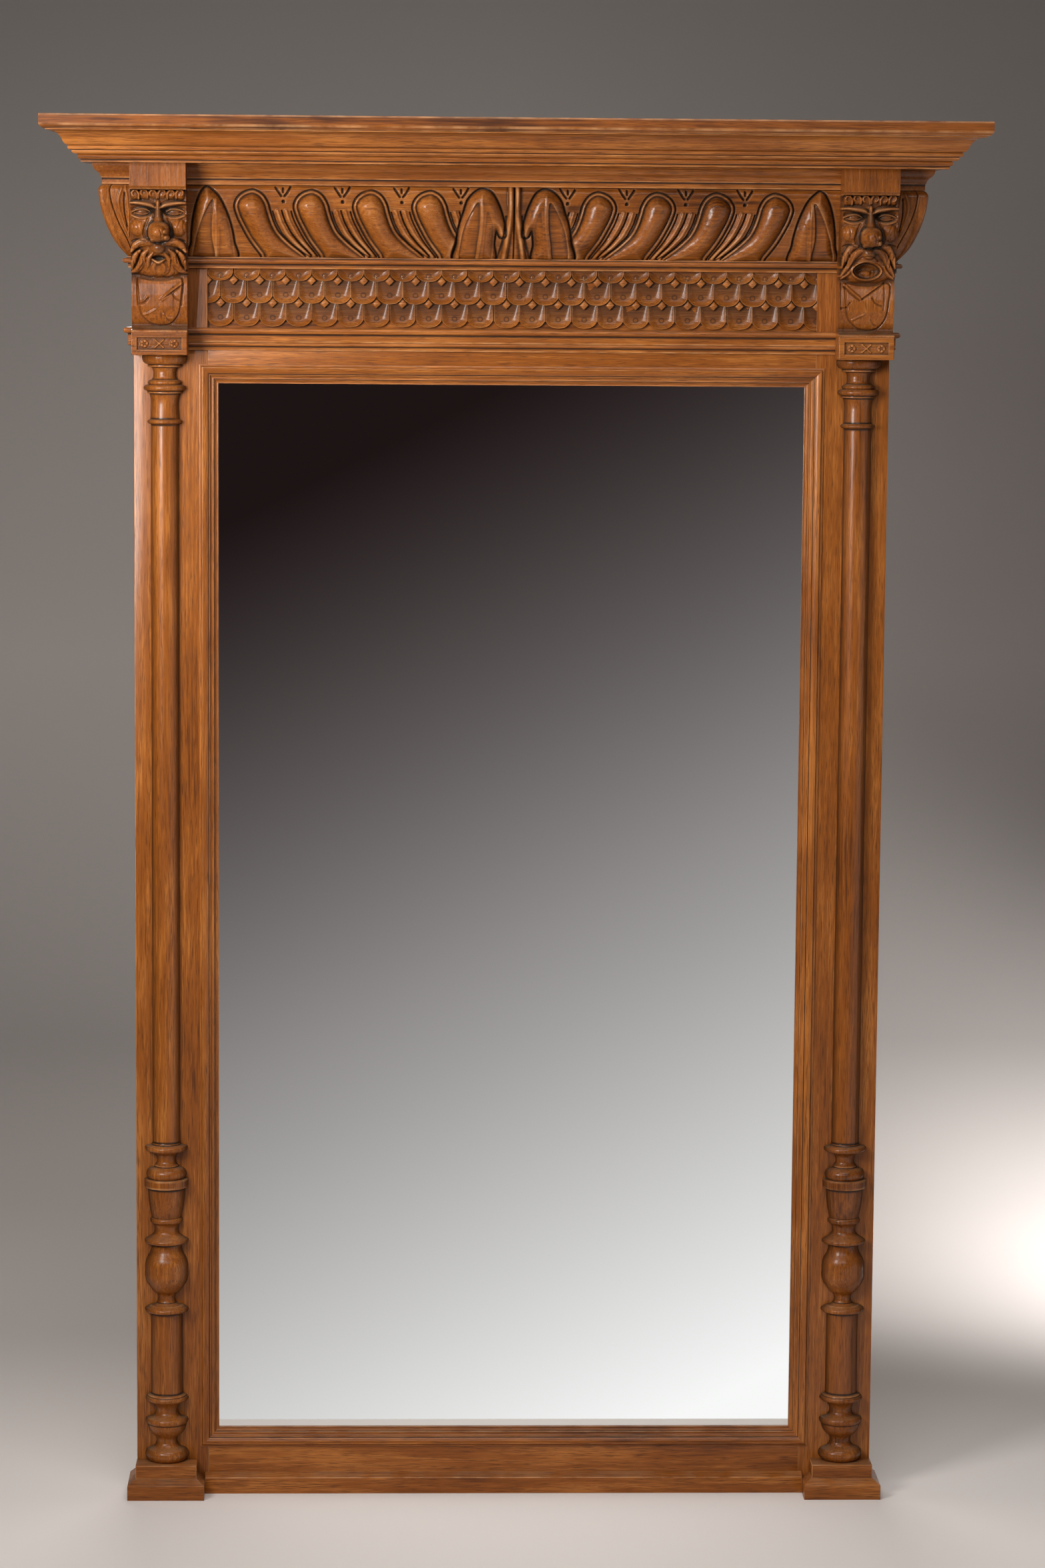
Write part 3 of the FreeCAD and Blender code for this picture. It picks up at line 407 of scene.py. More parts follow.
@dataclass(frozen=True)
class Gradient:
    """A painted reflection: the even fall of light that the glass shows, glowing on the front paper by the
    height and the width at which it is seen from the camera.
    """

    foot: float = 0.990
    fall: float = 0.5216
    lean: float = 0.262
    darkest: float = 0.140
    warmth: float = 0.035
    gamma: float = 2.2
    eye: Point = (-0.186, -6.2, 1.829)
    glass: float = 0.08

    def glow(self, graph: Graph, along: Wire, away: Wire, level: Wire) -> Wire:
        """The painted glow of each place of the paper, as the camera sees it in the glass.

        Args:
            graph: The paper's graph.
            along: The place along X.
            away: The place along Y.
            level: The place along Z.

        Returns:
            The glowing shader.
        """
        run = self.glass - away
        share = run / (run - self.eye[1])
        height = level + (self.eye[2] - level) * share
        width = along + (self.eye[0] - along) * share
        grey = self.foot - height * self.fall + width * self.lean
        held = graph.node("ShaderNodeClamp", {"Value": grey, "Min": self.darkest, "Max": 1.0})
        cool = (held - (1.0 - held) * self.warmth) ** self.gamma
        light = graph.node("ShaderNodeCombineColor", {0: held ** self.gamma, 1: cool, 2: cool})
        return graph.node("ShaderNodeEmission", {"Color": light})


@dataclass(frozen=True)
class StageFinish:
    """A plain studio paper, seen from its front only, whose grey follows its height.

    Glossy rays may see it instead as a long soft glowing gradient, a painted reflection for the glass.
    """

    name: str
    greys: Sequence[Point]
    gradient: Gradient | None = None
    tint: Colour = (1.0, 0.93, 0.89)
    roughness: float = 0.85
    specular: float = 0.15

    def material(self) -> bpy.types.Material:
        """Builds the finish.

        Returns:
            The material.
        """
        made, graph, shader = new_material(self.name)
        place = graph.node("ShaderNodeTexCoord", {}, output="Object")
        places = [graph.node("ShaderNodeSeparateXYZ", {0: place}, output=axis.value) for axis in Axis]
        top = self.greys[-1][0]
        stops = [(height / top, tuple(grey * share for share in self.tint)) for height, grey in self.greys]
        graph.feed(graph.node("ShaderNodeValToRGB", {0: places[2] / top}, stops=stops), shader, "Base Color")
        shader.inputs["Roughness"].default_value = self.roughness
        shader.inputs["Specular IOR Level"].default_value = self.specular
        front = Wire(graph, shader.outputs[0])
        if self.gradient:
            # Painted reflection: glossy rays see a glow here that no lamp gives.
            glossy = graph.node("ShaderNodeLightPath", {}, output="Is Glossy Ray")
            glow = self.gradient.glow(graph, *places)
            front = graph.node("ShaderNodeMixShader", {0: glossy, 1: front, 2: glow})
        reverse = graph.node("ShaderNodeNewGeometry", {}, output="Backfacing")
        clear = graph.node("ShaderNodeBsdfTransparent", {})
        sheet = graph.node("ShaderNodeMixShader", {0: reverse, 1: front, 2: clear})
        graph.tree.links.new(sheet.socket, made.node_tree.nodes["Material Output"].inputs[0])
        return made


class Palette:
    """The finishes of this object, each built once."""

    def __init__(self) -> None:
        """Builds the finishes and lists the set tones of single pieces, some of them painted light, and the
        slots of the finishes.
        """
        self.oak = WoodFinish(
            name="waxed oak", roughness=0.35, coat=0.26, ring_mm=5.5, grime_share=1.0, dust_share=0.22,
            dark=(0.058, 0.0150, 0.0026), middle=(0.245, 0.0700, 0.0085), light=(0.42, 0.145, 0.028),
            grime=(0.016, 0.007, 0.003), rubbed=(0.62, 0.31, 0.13), dust=(0.36, 0.27, 0.18)).material()
        self.backing = WoodFinish(
            name="old softwood", roughness=0.72, coat=0.0, ring_mm=7.0, grime_share=0.8, dust_share=0.6,
            dark=(0.11, 0.065, 0.033), middle=(0.24, 0.155, 0.085), light=(0.36, 0.25, 0.15),
            grime=(0.03, 0.02, 0.012), rubbed=(0.40, 0.30, 0.19), dust=(0.30, 0.26, 0.21)).material()
        self.steel = MetalFinish("dull steel", (0.32, 0.30, 0.28), 0.42, 0.6).material()
        self.mirror = MetalFinish("silvered glass", (0.93, 0.94, 0.93), 0.012, 0.0).material()
        # Painted light: the downward-facing crown is painted lighter and the top board darker, to even out
        # how the light falls on them; the bottom rail is given a lighter tone.
        self.tones = {"cornice_top_board_piece": -1.6, "crown_front_piece": 1.4, "bottom_rail_piece": 1.0}
        self.slots = {
            self.oak: "oak", self.backing: "backing_wood",
            self.steel: "screw_steel", self.mirror: "mirror_glass",
        }


def store(mesh: bpy.types.Mesh, label: str, values: np.ndarray) -> None:
    """Keeps a number or a vector for each point of a mesh."""
    kind, name = ("FLOAT_VECTOR", "vector") if values.ndim > 1 else ("FLOAT", "value")
    mesh.attributes.new(label, kind, "POINT").data.foreach_set(name, values.astype(np.float32).ravel())


@dataclass
class Surface:
    """Points and faces of one closed piece in millimetres, with the dirt and painted shade and the wear of
    each point.
    """

    points: np.ndarray
    quads: np.ndarray
    polygons: list[list[int]]
    dirt: np.ndarray
    wear: np.ndarray

    def joined(self, other: "Surface") -> "Surface":
        """This surface and another one as one.

        Args:
            other: The surface to add.

        Returns:
            Both together.
        """
        shift = len(self.points)
        return Surface(
            np.concatenate([self.points, other.points]),
            np.concatenate([self.quads.reshape(-1, 4), other.quads.reshape(-1, 4) + shift]),
            self.polygons + [[index + shift for index in polygon] for polygon in other.polygons],
            np.concatenate([self.dirt, other.dirt]),
            np.concatenate([self.wear, other.wear]),
        )

    def mesh(self, name: str) -> bpy.types.Mesh:
        """Makes a mesh with all faces outwards.

        Args:
            name: The mesh's name.

        Returns:
            The mesh.
        """
        rings = [np.array(polygon) for polygon in self.polygons]
        sizes = np.array([len(ring) for ring in rings], int)
        counts = np.concatenate([np.full(len(self.quads), 4), sizes])
        corners = np.concatenate([self.quads.ravel(), *rings]).astype(np.int32)
        starts = np.concatenate([[0], np.cumsum(counts)[:-1]]).astype(np.int32)
        mesh = bpy.data.meshes.new(name)
        mesh.vertices.add(len(self.points))
        mesh.vertices.foreach_set("co", (self.points * MM).astype(np.float32).ravel())
        mesh.loops.add(len(corners))
        mesh.loops.foreach_set("vertex_index", corners)
        mesh.polygons.add(len(counts))
        mesh.polygons.foreach_set("loop_start", starts)
        mesh.update(calc_edges=True)
        store(mesh, "dirt", self.dirt)
        store(mesh, "wear", self.wear)
        form = bmesh.new()
        form.from_mesh(mesh)
        bmesh.ops.recalc_face_normals(form, faces=form.faces)
        form.to_mesh(mesh)
        form.free()
        return mesh


def tube(rings: Sequence[np.ndarray], dirt: np.ndarray, wear: np.ndarray) -> Surface:
    """A closed surface through rings of points that follow each other.

    Args:
        rings: The rings, each with as many points.
        dirt: The dirt and painted shade of each point.
        wear: The wear of each point.

    Returns:
        The surface, with flat ends.
    """
    count, stretches = len(rings[0]), len(rings) - 1
    near = np.arange(count)
    after = (near + 1) % count
    ring = np.stack([near, after, count + after, count + near], axis=1)
    quads = np.concatenate([ring + index * count for index in range(stretches)])
    last = count * stretches
    ends = [list(range(count))[::-1], list(range(last, last + count))]
    return Surface(np.concatenate(rings), quads, ends, dirt, wear)


def grid_quads(rows: int, columns: int) -> np.ndarray:
    """Faces of a grid of points that are stored row by row.

    Args:
        rows: How many rows the grid has.
        columns: How many points each row has.

    Returns:
        The four points of each face.
    """
    index = np.arange(rows * columns).reshape(rows, columns)
    corners = [index[:-1, :-1], index[:-1, 1:], index[1:, 1:], index[1:, :-1]]
    return np.stack(corners, axis=-1).reshape(-1, 4)


def smooth_line(points: Sequence[Point], steps: int = 8, closed: bool = False) -> np.ndarray:
    """A smooth curve through points.

    Args:
        points: The points that the curve passes.
        steps: Points made for each stretch.
        closed: Whether the last point joins the first.

    Returns:
        The curve's points.
    """
    knots = np.array(points, float)
    if closed:
        padded = np.concatenate([knots[-1:], knots, knots[:2]])
    else:
        padded = np.concatenate([knots[:1] * 2 - knots[1:2], knots, knots[-1:] * 2 - knots[-2:-1]])
    share = np.linspace(0, 1, steps, endpoint=False)[:, None]
    made = []
    for first, start, end, last in zip(padded, padded[1:], padded[2:], padded[3:]):
        slope = (end - first) * share + (2 * first - 5 * start + 4 * end - last) * share ** 2
        made.append(start + 0.5 * (slope + (3 * start - first - 3 * end + last) * share ** 3))
    return np.concatenate(made if closed else [*made, knots[-1:]])


def step(low: float, high: float, value: np.ndarray) -> np.ndarray:
    """A smooth step from 0 to 1 between two limits."""
    share = np.clip((value - low) / (high - low), 0, 1)
    return share * share * (3 - 2 * share)


def bell(value: np.ndarray) -> np.ndarray:
    """A rounded bump that is 1 at zero and 0 from one outwards."""
    return np.clip(1 - value ** 2, 0, 1) ** 2


def smooth_max(first: np.ndarray, second: np.ndarray, blend: float) -> np.ndarray:
    """The higher of two heights, with a rounded joint."""
    share = np.clip(0.5 + 0.5 * (second - first) / blend, 0, 1)
    return first * (1 - share) + second * share + blend * share * (1 - share)


def blurred(field: np.ndarray, reach: int) -> np.ndarray:
    """A field averaged over its neighbours.

    Args:
        field: The field.
        reach: How many neighbours count on each side.

    Returns:
        The averaged field.
    """
    for axis in (0, 1, 0, 1):
        pad = [(reach, reach) if axis == side else (0, 0) for side in (0, 1)]
        total = np.cumsum(np.pad(field, pad, mode="edge"), axis=axis)
        total = np.concatenate([np.zeros_like(np.take(total, [0], axis)), total], axis=axis)
        size = field.shape[axis]
        high = np.take(total, np.arange(2 * reach + 1, 2 * reach + 1 + size), axis)
        field = (high - np.take(total, np.arange(size), axis)) / (2 * reach + 1)
    return field


@dataclass
class Outline:
    """A closed outline with softened corners, and the dirt and painted shade and the wear along it."""

    ROUND_SHARE = 0.3
    ROUND_PULL = 0.29
    FADE = 3.0
    FADE_SHARE = 0.45

    points: np.ndarray
    dirt: np.ndarray
    wear: np.ndarray

    @classmethod
    def worked(cls, corners: Sequence[Point], softness: float = 0.8) -> "Outline":
        """Rounds each corner: outer corners are rubbed and inner ones hold dirt and painted shade.

        Args:
            corners: Two coordinates for each corner, and the bulge of the arc that ends there.
            softness: The size of the rounding, in millimetres.

        Returns:
            The outline.
        """
        line = cls.with_arcs(corners)
        area = np.sum(line[:, 0] * np.roll(line[:, 1], -1) - np.roll(line[:, 0], -1) * line[:, 1])
        if area < 0:
            line = line[::-1]
        points, dirt, wear = [], [], []
        count = len(line)
        for index in range(count):
            spot = line[index]
            back, ahead = line[index - 1] - spot, line[(index + 1) % count] - spot
            back_length, ahead_length = np.hypot(*back), np.hypot(*ahead)
            back, ahead = back / back_length, ahead / ahead_length
            turn = math.atan2(back[1] * ahead[0] - back[0] * ahead[1], -(back @ ahead))
            if abs(turn) < CORNER_ANGLE:
                points.append(spot)
                dirt.append(0.0)
                wear.append(0.0)
                continue
            # Inner corners take dirt and painted shade, outer corners wear.
            mark = (0.0, 1.0) if turn > 0 else (1.0, 0.0)
            reach = min(softness, back_length * cls.ROUND_SHARE, ahead_length * cls.ROUND_SHARE)
            fade_back = min(cls.FADE, back_length * cls.FADE_SHARE)
            fade_ahead = min(cls.FADE, ahead_length * cls.FADE_SHARE)
            middle = spot + (back + ahead) * reach * cls.ROUND_PULL
            for place, share in (
                (spot + back * fade_back, 0), (spot + back * reach, 1), (middle, 1),
                (spot + ahead * reach, 1), (spot + ahead * fade_ahead, 0),
            ):
                points.append(place)
                dirt.append(mark[0] * share)
                wear.append(mark[1] * share)
        return cls(np.array(points), np.array(dirt), np.array(wear))

    @staticmethod
    def with_arcs(corners: Sequence[Point]) -> np.ndarray:
        """An outline's points, with each corner's bulge drawn as an arc.

        Args:
            corners: Two coordinates for each corner, and the bulge of the arc that ends there.

        Returns:
            The points.
        """
        line = []
        for index, corner in enumerate(corners):
            start, end = np.array(corners[index - 1][:2], float), np.array(corner[:2], float)
            bulge = corner[2] if len(corner) > 2 else 0.0
            if bulge:
                chord = end - start
                offset = np.array([-chord[1], chord[0]]) * (1 - bulge ** 2) / (4 * bulge)
                centre = (start + end) / 2 + offset
                sweep = 4 * math.atan(bulge)
                count = max(4, int(abs(sweep) / ARC_STEP))
                arm = start - centre
                for share in np.arange(1, count) / count:
                    turn = sweep * share
                    sine, cosine = math.sin(turn), math.cos(turn)
                    line.append(centre + np.array([[cosine, -sine], [sine, cosine]]) @ arm)
            line.append(end)
        return np.array(line)


def turned(line: Sequence[Point], sign: int) -> list[Point]:
    """A line on one side of the middle."""
    return [(across * sign, up) for across, up in line]


@dataclass(frozen=True)
class Station:
    """Where an outline stands along a sweep, and which way its two coordinates point."""

    origin: Point
    out: Point
    up: Point = (0.0, 0.0, 1.0)


def sweep(outline: Outline, stations: Sequence[Station]) -> Surface:
    """An outline carried from station to station, with closed ends.

    Args:
        outline: The outline.
        stations: The places that it passes.

    Returns:
        The closed surface.
    """
    rings = []
    for station in stations:
        out, up = np.array(station.out, float), np.array(station.up, float)
        rings.append(np.array(station.origin) + outline.points[:, :1] * out + outline.points[:, 1:] * up)
    times = len(stations)
    return tube(rings, np.tile(outline.dirt, times), np.tile(outline.wear, times))


def box_surface(low: Point, high: Point) -> Surface:
    """A plain box.

    Args:
        low: Its lowest corner.
        high: Its highest corner.

    Returns:
        The closed surface.
    """
    (x0, y0, z0), (x1, y1, z1) = low, high
    corners = np.array([(x, y, z) for z in (z0, z1) for y in (y0, y1) for x in (x0, x1)], float)
    quads = [(0, 2, 3, 1), (4, 5, 7, 6), (0, 1, 5, 4), (2, 6, 7, 3), (0, 4, 6, 2), (1, 3, 7, 5)]
    return Surface(corners, np.array(quads), [], np.zeros(8), np.zeros(8))


class Workshop:
    """Makes scene objects out of surfaces and ties them to the CAD frame."""

    def __init__(self, palette: Palette) -> None:
        """Keeps the finishes."""
        self.palette = palette

    def add(
        self, name: str, mesh: bpy.types.Mesh, nodes: Sequence[str], grain: Grain,
        material: bpy.types.Material, crease: float = CREASE,
    ) -> bpy.types.Object:
        """Adds a piece with its wood coordinates, its finish and the CAD nodes that it stands for.

        Args:
            name: The piece's name.
            mesh: Its mesh, in the row frame.
            nodes: The CAD nodes that it replaces.
            grain: Which way its fibres run.
            material: Its finish.
            crease: The angle in degrees from which an edge stays sharp.

        Returns:
            The object.
        """
        seed = zlib.crc32(name.encode())
        places = np.zeros(len(mesh.vertices) * 3, np.float32)
        mesh.vertices.foreach_get("co", places)
        wood = places.reshape(-1, 3)[:, grain.value]
        wood = wood - wood.mean(axis=0) * np.array([0.0, 1.0, 1.0])
        # Each board has its own place in the log and its own tone, from -1 to 1; a few pieces take a set
        # tone, some of it painted light
        offset = np.array([seed % 97, (seed >> 8) % 61 / 610 - 0.05, 0.05 + (seed >> 16) % 53 / 900])
        shade = self.palette.tones.get(name, (seed >> 4) % 101 / 50 - 1)
        store(mesh, "wood", wood + offset)
        store(mesh, "tone", np.full(len(mesh.vertices), shade))
        mesh.materials.clear()
        mesh.materials.append(material)
        mesh.shade_smooth()
        mesh.set_sharp_from_angle(angle=math.radians(crease))
        piece = bpy.data.objects.new(name, mesh)
        bpy.context.scene.collection.objects.link(piece)
        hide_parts(*nodes)
        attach(piece, "root")
        return piece

    def piece(self, node: str, surface: Surface, grain: Grain, crease: float = CREASE) -> None:
        """Adds an oak piece that stands for one CAD node and has its name."""
        oak = self.palette.oak
        self.add(f"{node}_piece", surface.mesh(node), [node], grain, oak, crease)

    def soften(
        self, node: str, grain: Grain, material: bpy.types.Material,
        radius: float = 0.9, shortest: float = 12.0,
    ) -> bpy.types.Object:
        """A copy of a straight-sided CAD node with its long edges rounded and rubbed.

        Args:
            node: The CAD node.
            grain: Which way its fibres run.
            material: Its finish.
            radius: The size of the rounding, in millimetres.
            shortest: Edges shorter than this, in millimetres, stay sharp.

        Returns:
            The object.
        """
        form = bmesh.new()
        form.from_mesh(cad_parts[node].data)
        for layer in list(form.loops.layers.uv.values()):
            form.loops.layers.uv.remove(layer)
        wear = form.faces.layers.float.new("wear")
        bmesh.ops.remove_doubles(form, verts=form.verts, dist=WELD)
        bmesh.ops.dissolve_limit(form, angle_limit=FLAT_ANGLE, verts=form.verts, edges=form.edges)
        edges = [
            edge for edge in form.edges
            if len(edge.link_faces) == 2 and edge.is_convex and edge.calc_length() > shortest * MM
            and edge.calc_face_angle(0) > SHARP_ANGLE
        ]
        made = bmesh.ops.bevel(
            form, geom=edges, offset=radius * MM, segments=2, profile=0.6, affect="EDGES",
            clamp_overlap=True)
        for face in made["faces"]:
            face[wear] = 1.0
        bmesh.ops.recalc_face_normals(form, faces=form.faces)
        mesh = bpy.data.meshes.new(node)
        form.to_mesh(mesh)
        form.free()
        mesh.attributes.new("dirt", "FLOAT", "POINT")
        return self.add(f"{node}_piece", mesh, [node], grain, material)

    def dress(self, node: str, material: bpy.types.Material) -> None:
        """Gives a CAD node that stays in the picture a finish.

        Args:
            node: The CAD node.
            material: Its finish.
        """
        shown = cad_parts[node]
        shown.data.materials.clear()
        shown.data.materials.append(material)


class Carving:
    """Heights of a carved face over a grid of places across and up, in millimetres."""

    def __init__(self, across: np.ndarray, up: np.ndarray) -> None:
        """Starts with a level face over places across and up."""
        self.across, self.up = np.meshgrid(across, up)
        self.height = np.zeros_like(self.across)

    def near(self, line: np.ndarray, margin: float) -> Window:
        """The part of the grid round a line.

        Args:
            line: The line's points.
            margin: How far round it the part reaches.

        Returns:
            The rows and the columns of the part.
        """
        low, high = line.min(axis=0) - margin, line.max(axis=0) + margin
        columns = np.searchsorted(self.across[0], [low[0], high[0]])
        rows = np.searchsorted(self.up[:, 0], [low[1], high[1]])
        return slice(max(rows[0] - 1, 0), rows[1] + 1), slice(max(columns[0] - 1, 0), columns[1] + 1)

    def _beside(self, window: Window, start: np.ndarray, end: np.ndarray) -> tuple[np.ndarray, np.ndarray]:
        """Where each place of a window lies beside a straight stretch.

        Args:
            window: The part of the grid.
            start: The stretch's first point.
            end: Its last point.

        Returns:
            The share along the stretch, and the square of the distance from it.
        """
        u, v, run = self.across[window] - start[0], self.up[window] - start[1], end - start
        along = np.clip((u * run[0] + v * run[1]) / max(run @ run, TINY), 0, 1)
        return along, (u - along * run[0]) ** 2 + (v - along * run[1]) ** 2

    def distance(self, line: np.ndarray, window: Window) -> np.ndarray:
        """How far each place of a window is from a line.

        Args:
            line: The line's points.
            window: The part of the grid.

        Returns:
            The distances.
        """
        best = np.full(self.across[window].shape, np.inf)
        for start, end in zip(line[:-1], line[1:]):
            best = np.minimum(best, self._beside(window, start, end)[1])
        return np.sqrt(best)

    def depth(self, line: np.ndarray, window: Window) -> np.ndarray:
        """How far inside a closed line each place is; places outside are negative.

        Args:
            line: The line's points.
            window: The part of the grid.

        Returns:
            The depths.
        """
        ring = np.concatenate([line, line[:1]])
        u, v = self.across[window], self.up[window]
        inside = np.zeros(u.shape, bool)
        for start, end in zip(ring[:-1], ring[1:]):
            crosses = (start[1] > v) != (end[1] > v)
            rise = end[1] - start[1] if end[1] != start[1] else TINY
            inside ^= crosses & (u < (end[0] - start[0]) * (v - start[1]) / rise + start[0])
        return np.where(inside, 1, -1) * self.distance(ring, window)

    def stroke(self, points: Sequence[Point], width: float, rise: float) -> None:
        """A ridge, or with a negative rise a groove, along a smooth line.

        Args:
            points: The points that the line passes.
            width: Half of the stroke's width.
            rise: Its height.
        """
        line = smooth_line(points)
        window = self.near(line, width)
        self.height[window] += rise * bell(self.distance(line, window) / width)

    def strokes(self, lines: Sequence[Stroke], sign: int = 1) -> None:
        """Cuts several strokes, on one side of the middle."""
        for points, width, rise in lines:
            self.stroke(turned(points, sign), width, rise)

    def shape(
        self, points: Sequence[Point], form: Callable[[np.ndarray, np.ndarray], np.ndarray],
        margin: float,
    ) -> None:
        """Changes the heights in and round a smooth closed shape.

        Args:
            points: The points of the shape's outline.
            form: New heights out of the depth inside the shape and the old heights.
            margin: How far outside the shape the heights change.
        """
        line = smooth_line(points, steps=6, closed=True)
        window = self.near(line, margin)
        self.height[window] = form(self.depth(line, window), self.height[window])

    def sink(self, points: Sequence[Point], floor: float, edge: Point, margin: float) -> None:
        """Brings a smooth closed shape to a level.

        Args:
            points: The points of the shape's outline.
            floor: The level.
            edge: The depths inside the shape between which its edge falls.
            margin: How far outside the shape the heights change.
        """
        self.shape(points, lambda depth, old: old + (floor - old) * step(*edge, depth), margin)

    def dome(
        self, centre: Point, half: Point, base: float, rise: float, power: float, blend: float,
    ) -> None:
        """A rounded form that is joined smoothly to what is under it.

        Args:
            centre: Its middle.
            half: Its half sizes.
            base: The height that it rises from.
            rise: Its own height.
            power: How square it is.
            blend: How far the joint is rounded.
        """
        u, v = np.abs(self.across - centre[0]) / half[0], np.abs(self.up - centre[1]) / half[1]
        spread = u ** power + v ** power
        form = base + rise * np.sqrt(np.clip(1 - spread, 0, 1)) - rise * np.clip(spread - 1, 0, 4)
        self.height = smooth_max(self.height, form, blend)

    def lock(
        self, points: Sequence[Point], widths: Sequence[float], base: float | np.ndarray, rise: float,
        blend: float = 1.0,
    ) -> None:
        """A rounded strand along a smooth line, lower where it is thinner.

        Args:
            points: The points that the strand's middle passes.
            widths: Half of its width at each of those points.
            base: The height that it rises from, one for all places or one for each.
            rise: Its own height where it is widest.
            blend: How far its joint is rounded.
        """
        line = smooth_line(points)
        halves = np.interp(np.linspace(0, len(widths) - 1, len(line)), range(len(widths)), widths)
        window = self.near(line, max(widths))
        best = np.zeros(self.across[window].shape)
        for start, end, first, last in zip(line[:-1], line[1:], halves[:-1], halves[1:]):
            along, away = self._beside(window, start, end)
            half = first + along * (last - first)
            best = np.maximum(best, np.sqrt(np.clip(1 - away / half ** 2, 0, 1) * half / max(widths)))
        foot = base[window] if isinstance(base, np.ndarray) else base
        form = foot + rise * best - np.where(best > 0, 0.0, 3 * rise)
        self.height[window] = smooth_max(self.height[window], form, blend)

    def roughen(self, seed: int, size: int, rise: float) -> None:
        """Uneven tool marks over the whole face.

        Args:
            seed: The marks' seed.
            size: Their size in grid steps.
            rise: Their height.
        """
        marks = blurred(np.random.default_rng(seed).normal(size=self.height.shape), size)
        self.height += rise * marks / marks.std()

    def hollows(self, reach: int, scale: float) -> tuple[np.ndarray, np.ndarray]:
        """Where dirt gathers and shade is painted, and where the carving is rubbed.

        Args:
            reach: How far round a place counts, in grid steps.
            scale: The height difference that counts in full.

        Returns:
            The dirt and painted shade and the wear of each place.
        """
        # Sunk places are darkened as dirt and painted shade.
        sunk = (blurred(self.height, reach) - self.height) / scale
        wide = (blurred(self.height, 3 * reach) - self.height) / (2.5 * scale)
        return np.clip(np.maximum(sunk, wide), 0, 1), np.clip(-sunk - 0.15, 0, 1)

    def solid(
        self, place: Callable[["Carving"], np.ndarray], back: Callable[[np.ndarray], np.ndarray],
        dirt_and_shade_reach: int, dirt_and_shade_scale: float,
    ) -> Surface:
        """A closed solid with the carving as its front.

        Args:
            place: Gives the front's points in the row frame.
            back: Gives the points of the rim's foot out of the rim's points.
            dirt_and_shade_reach: How far round a place counts for dirt and painted shade, in grid steps.
            dirt_and_shade_scale: The height difference that is fully dirty and shaded.

        Returns:
            The solid.
        """
        rows, columns = self.height.shape
        front = place(self)
        index = np.arange(rows * columns).reshape(rows, columns)
        rim = np.concatenate([index[0, :-1], index[:-1, -1], index[-1, :0:-1], index[:0:-1, 0]])
        foot = back(front.reshape(-1, 3)[rim])
        start = rows * columns
        count = len(rim)
        near = np.arange(count)
        walls = np.stack([rim, np.roll(rim, -1), start + (near + 1) % count, start + near], axis=1)
        dirt, wear = self.hollows(dirt_and_shade_reach, dirt_and_shade_scale)
        return Surface(
            np.concatenate([front.reshape(-1, 3), foot]),
            np.concatenate([grid_quads(rows, columns), walls]),
            [list(range(start, start + count))],
            np.concatenate([dirt.ravel(), np.zeros(count)]),
            np.concatenate([wear.ravel(), np.zeros(count)]),
        )


class RowOfCopies:
    """Copies of one object in a row, each turned and sized a little by chance, as Geometry Nodes."""

    SOCKETS = {
        "Copy": "NodeSocketObject", "Count": "NodeSocketInt", "Start": "NodeSocketVector",
        "Step": "NodeSocketVector", "Turn": "NodeSocketVector", "Swell": "NodeSocketFloat",
        "Seed": "NodeSocketInt", "Finish": "NodeSocketMaterial",
    }

    def __init__(self) -> None:
        """Builds the node group."""
        tree = bpy.data.node_groups.new("Row of copies", "GeometryNodeTree")
        tree.interface.new_socket("Geometry", in_out="OUTPUT", socket_type="NodeSocketGeometry")
        self.sockets = {
            name: tree.interface.new_socket(name, in_out="INPUT", socket_type=kind).identifier
            for name, kind in self.SOCKETS.items()
        }
        self.tree = tree
        graph = Graph(tree)
        entry = tree.nodes.new("NodeGroupInput")
        given = {name: Wire(graph, entry.outputs[name]) for name in self.SOCKETS}
        seed = {"Seed": given["Seed"]}
        places = {"Count": given["Count"], "Start Location": given["Start"], "Offset": given["Step"]}
        line = graph.node("GeometryNodeMeshLine", places)
        copy = graph.node("GeometryNodeObjectInfo", {"Object": given["Copy"]}, output="Geometry")
        back = graph.node("ShaderNodeVectorMath", {0: given["Turn"], "Scale": -1.0}, operation="SCALE")
        angles = {"Min": back, "Max": given["Turn"], **seed}
        turn = graph.node("FunctionNodeRandomValue", angles, data_type="FLOAT_VECTOR")
        spin = graph.node("FunctionNodeEulerToRotation", {0: turn})
        scales = {2: 1.0 - given["Swell"], 3: 1.0 + given["Swell"], **seed}
        swell = graph.node("FunctionNodeRandomValue", scales, output=1)
        copies = {"Points": line, "Instance": copy, "Rotation": spin, "Scale": swell}
        row = graph.node("GeometryNodeInstanceOnPoints", copies)
        plain = graph.node("GeometryNodeRealizeInstances", {0: row})
        done = graph.node("GeometryNodeSetMaterial", {"Geometry": plain, "Material": given["Finish"]})
        tree.links.new(done.socket, tree.nodes.new("NodeGroupOutput").inputs[0])

    def mesh(self, name: str, copy: bpy.types.Mesh, **inputs: Any) -> bpy.types.Mesh:
        """Runs the nodes for one row.

        Args:
            name: The name of the row's mesh.
            copy: The mesh that is repeated.
            **inputs: Values of the named inputs.

        Returns:
            A plain mesh.
        """
        pattern = bpy.data.objects.new(f"{name} copy", copy)
        holder = bpy.data.objects.new(name, bpy.data.meshes.new(name))
        for item in (pattern, holder):
            bpy.context.scene.collection.objects.link(item)
        modifier = holder.modifiers.new("row", "NODES")
        modifier.node_group = self.tree
        for socket, value in {"Copy": pattern, "Swell": 0.0, **inputs}.items():
            modifier[self.sockets[socket]] = value
        bpy.context.view_layer.update()
        shown = holder.evaluated_get(bpy.context.evaluated_depsgraph_get())
        made = bpy.data.meshes.new_from_object(shown)
        for item in (holder, pattern):
            bpy.data.objects.remove(item)
        return made


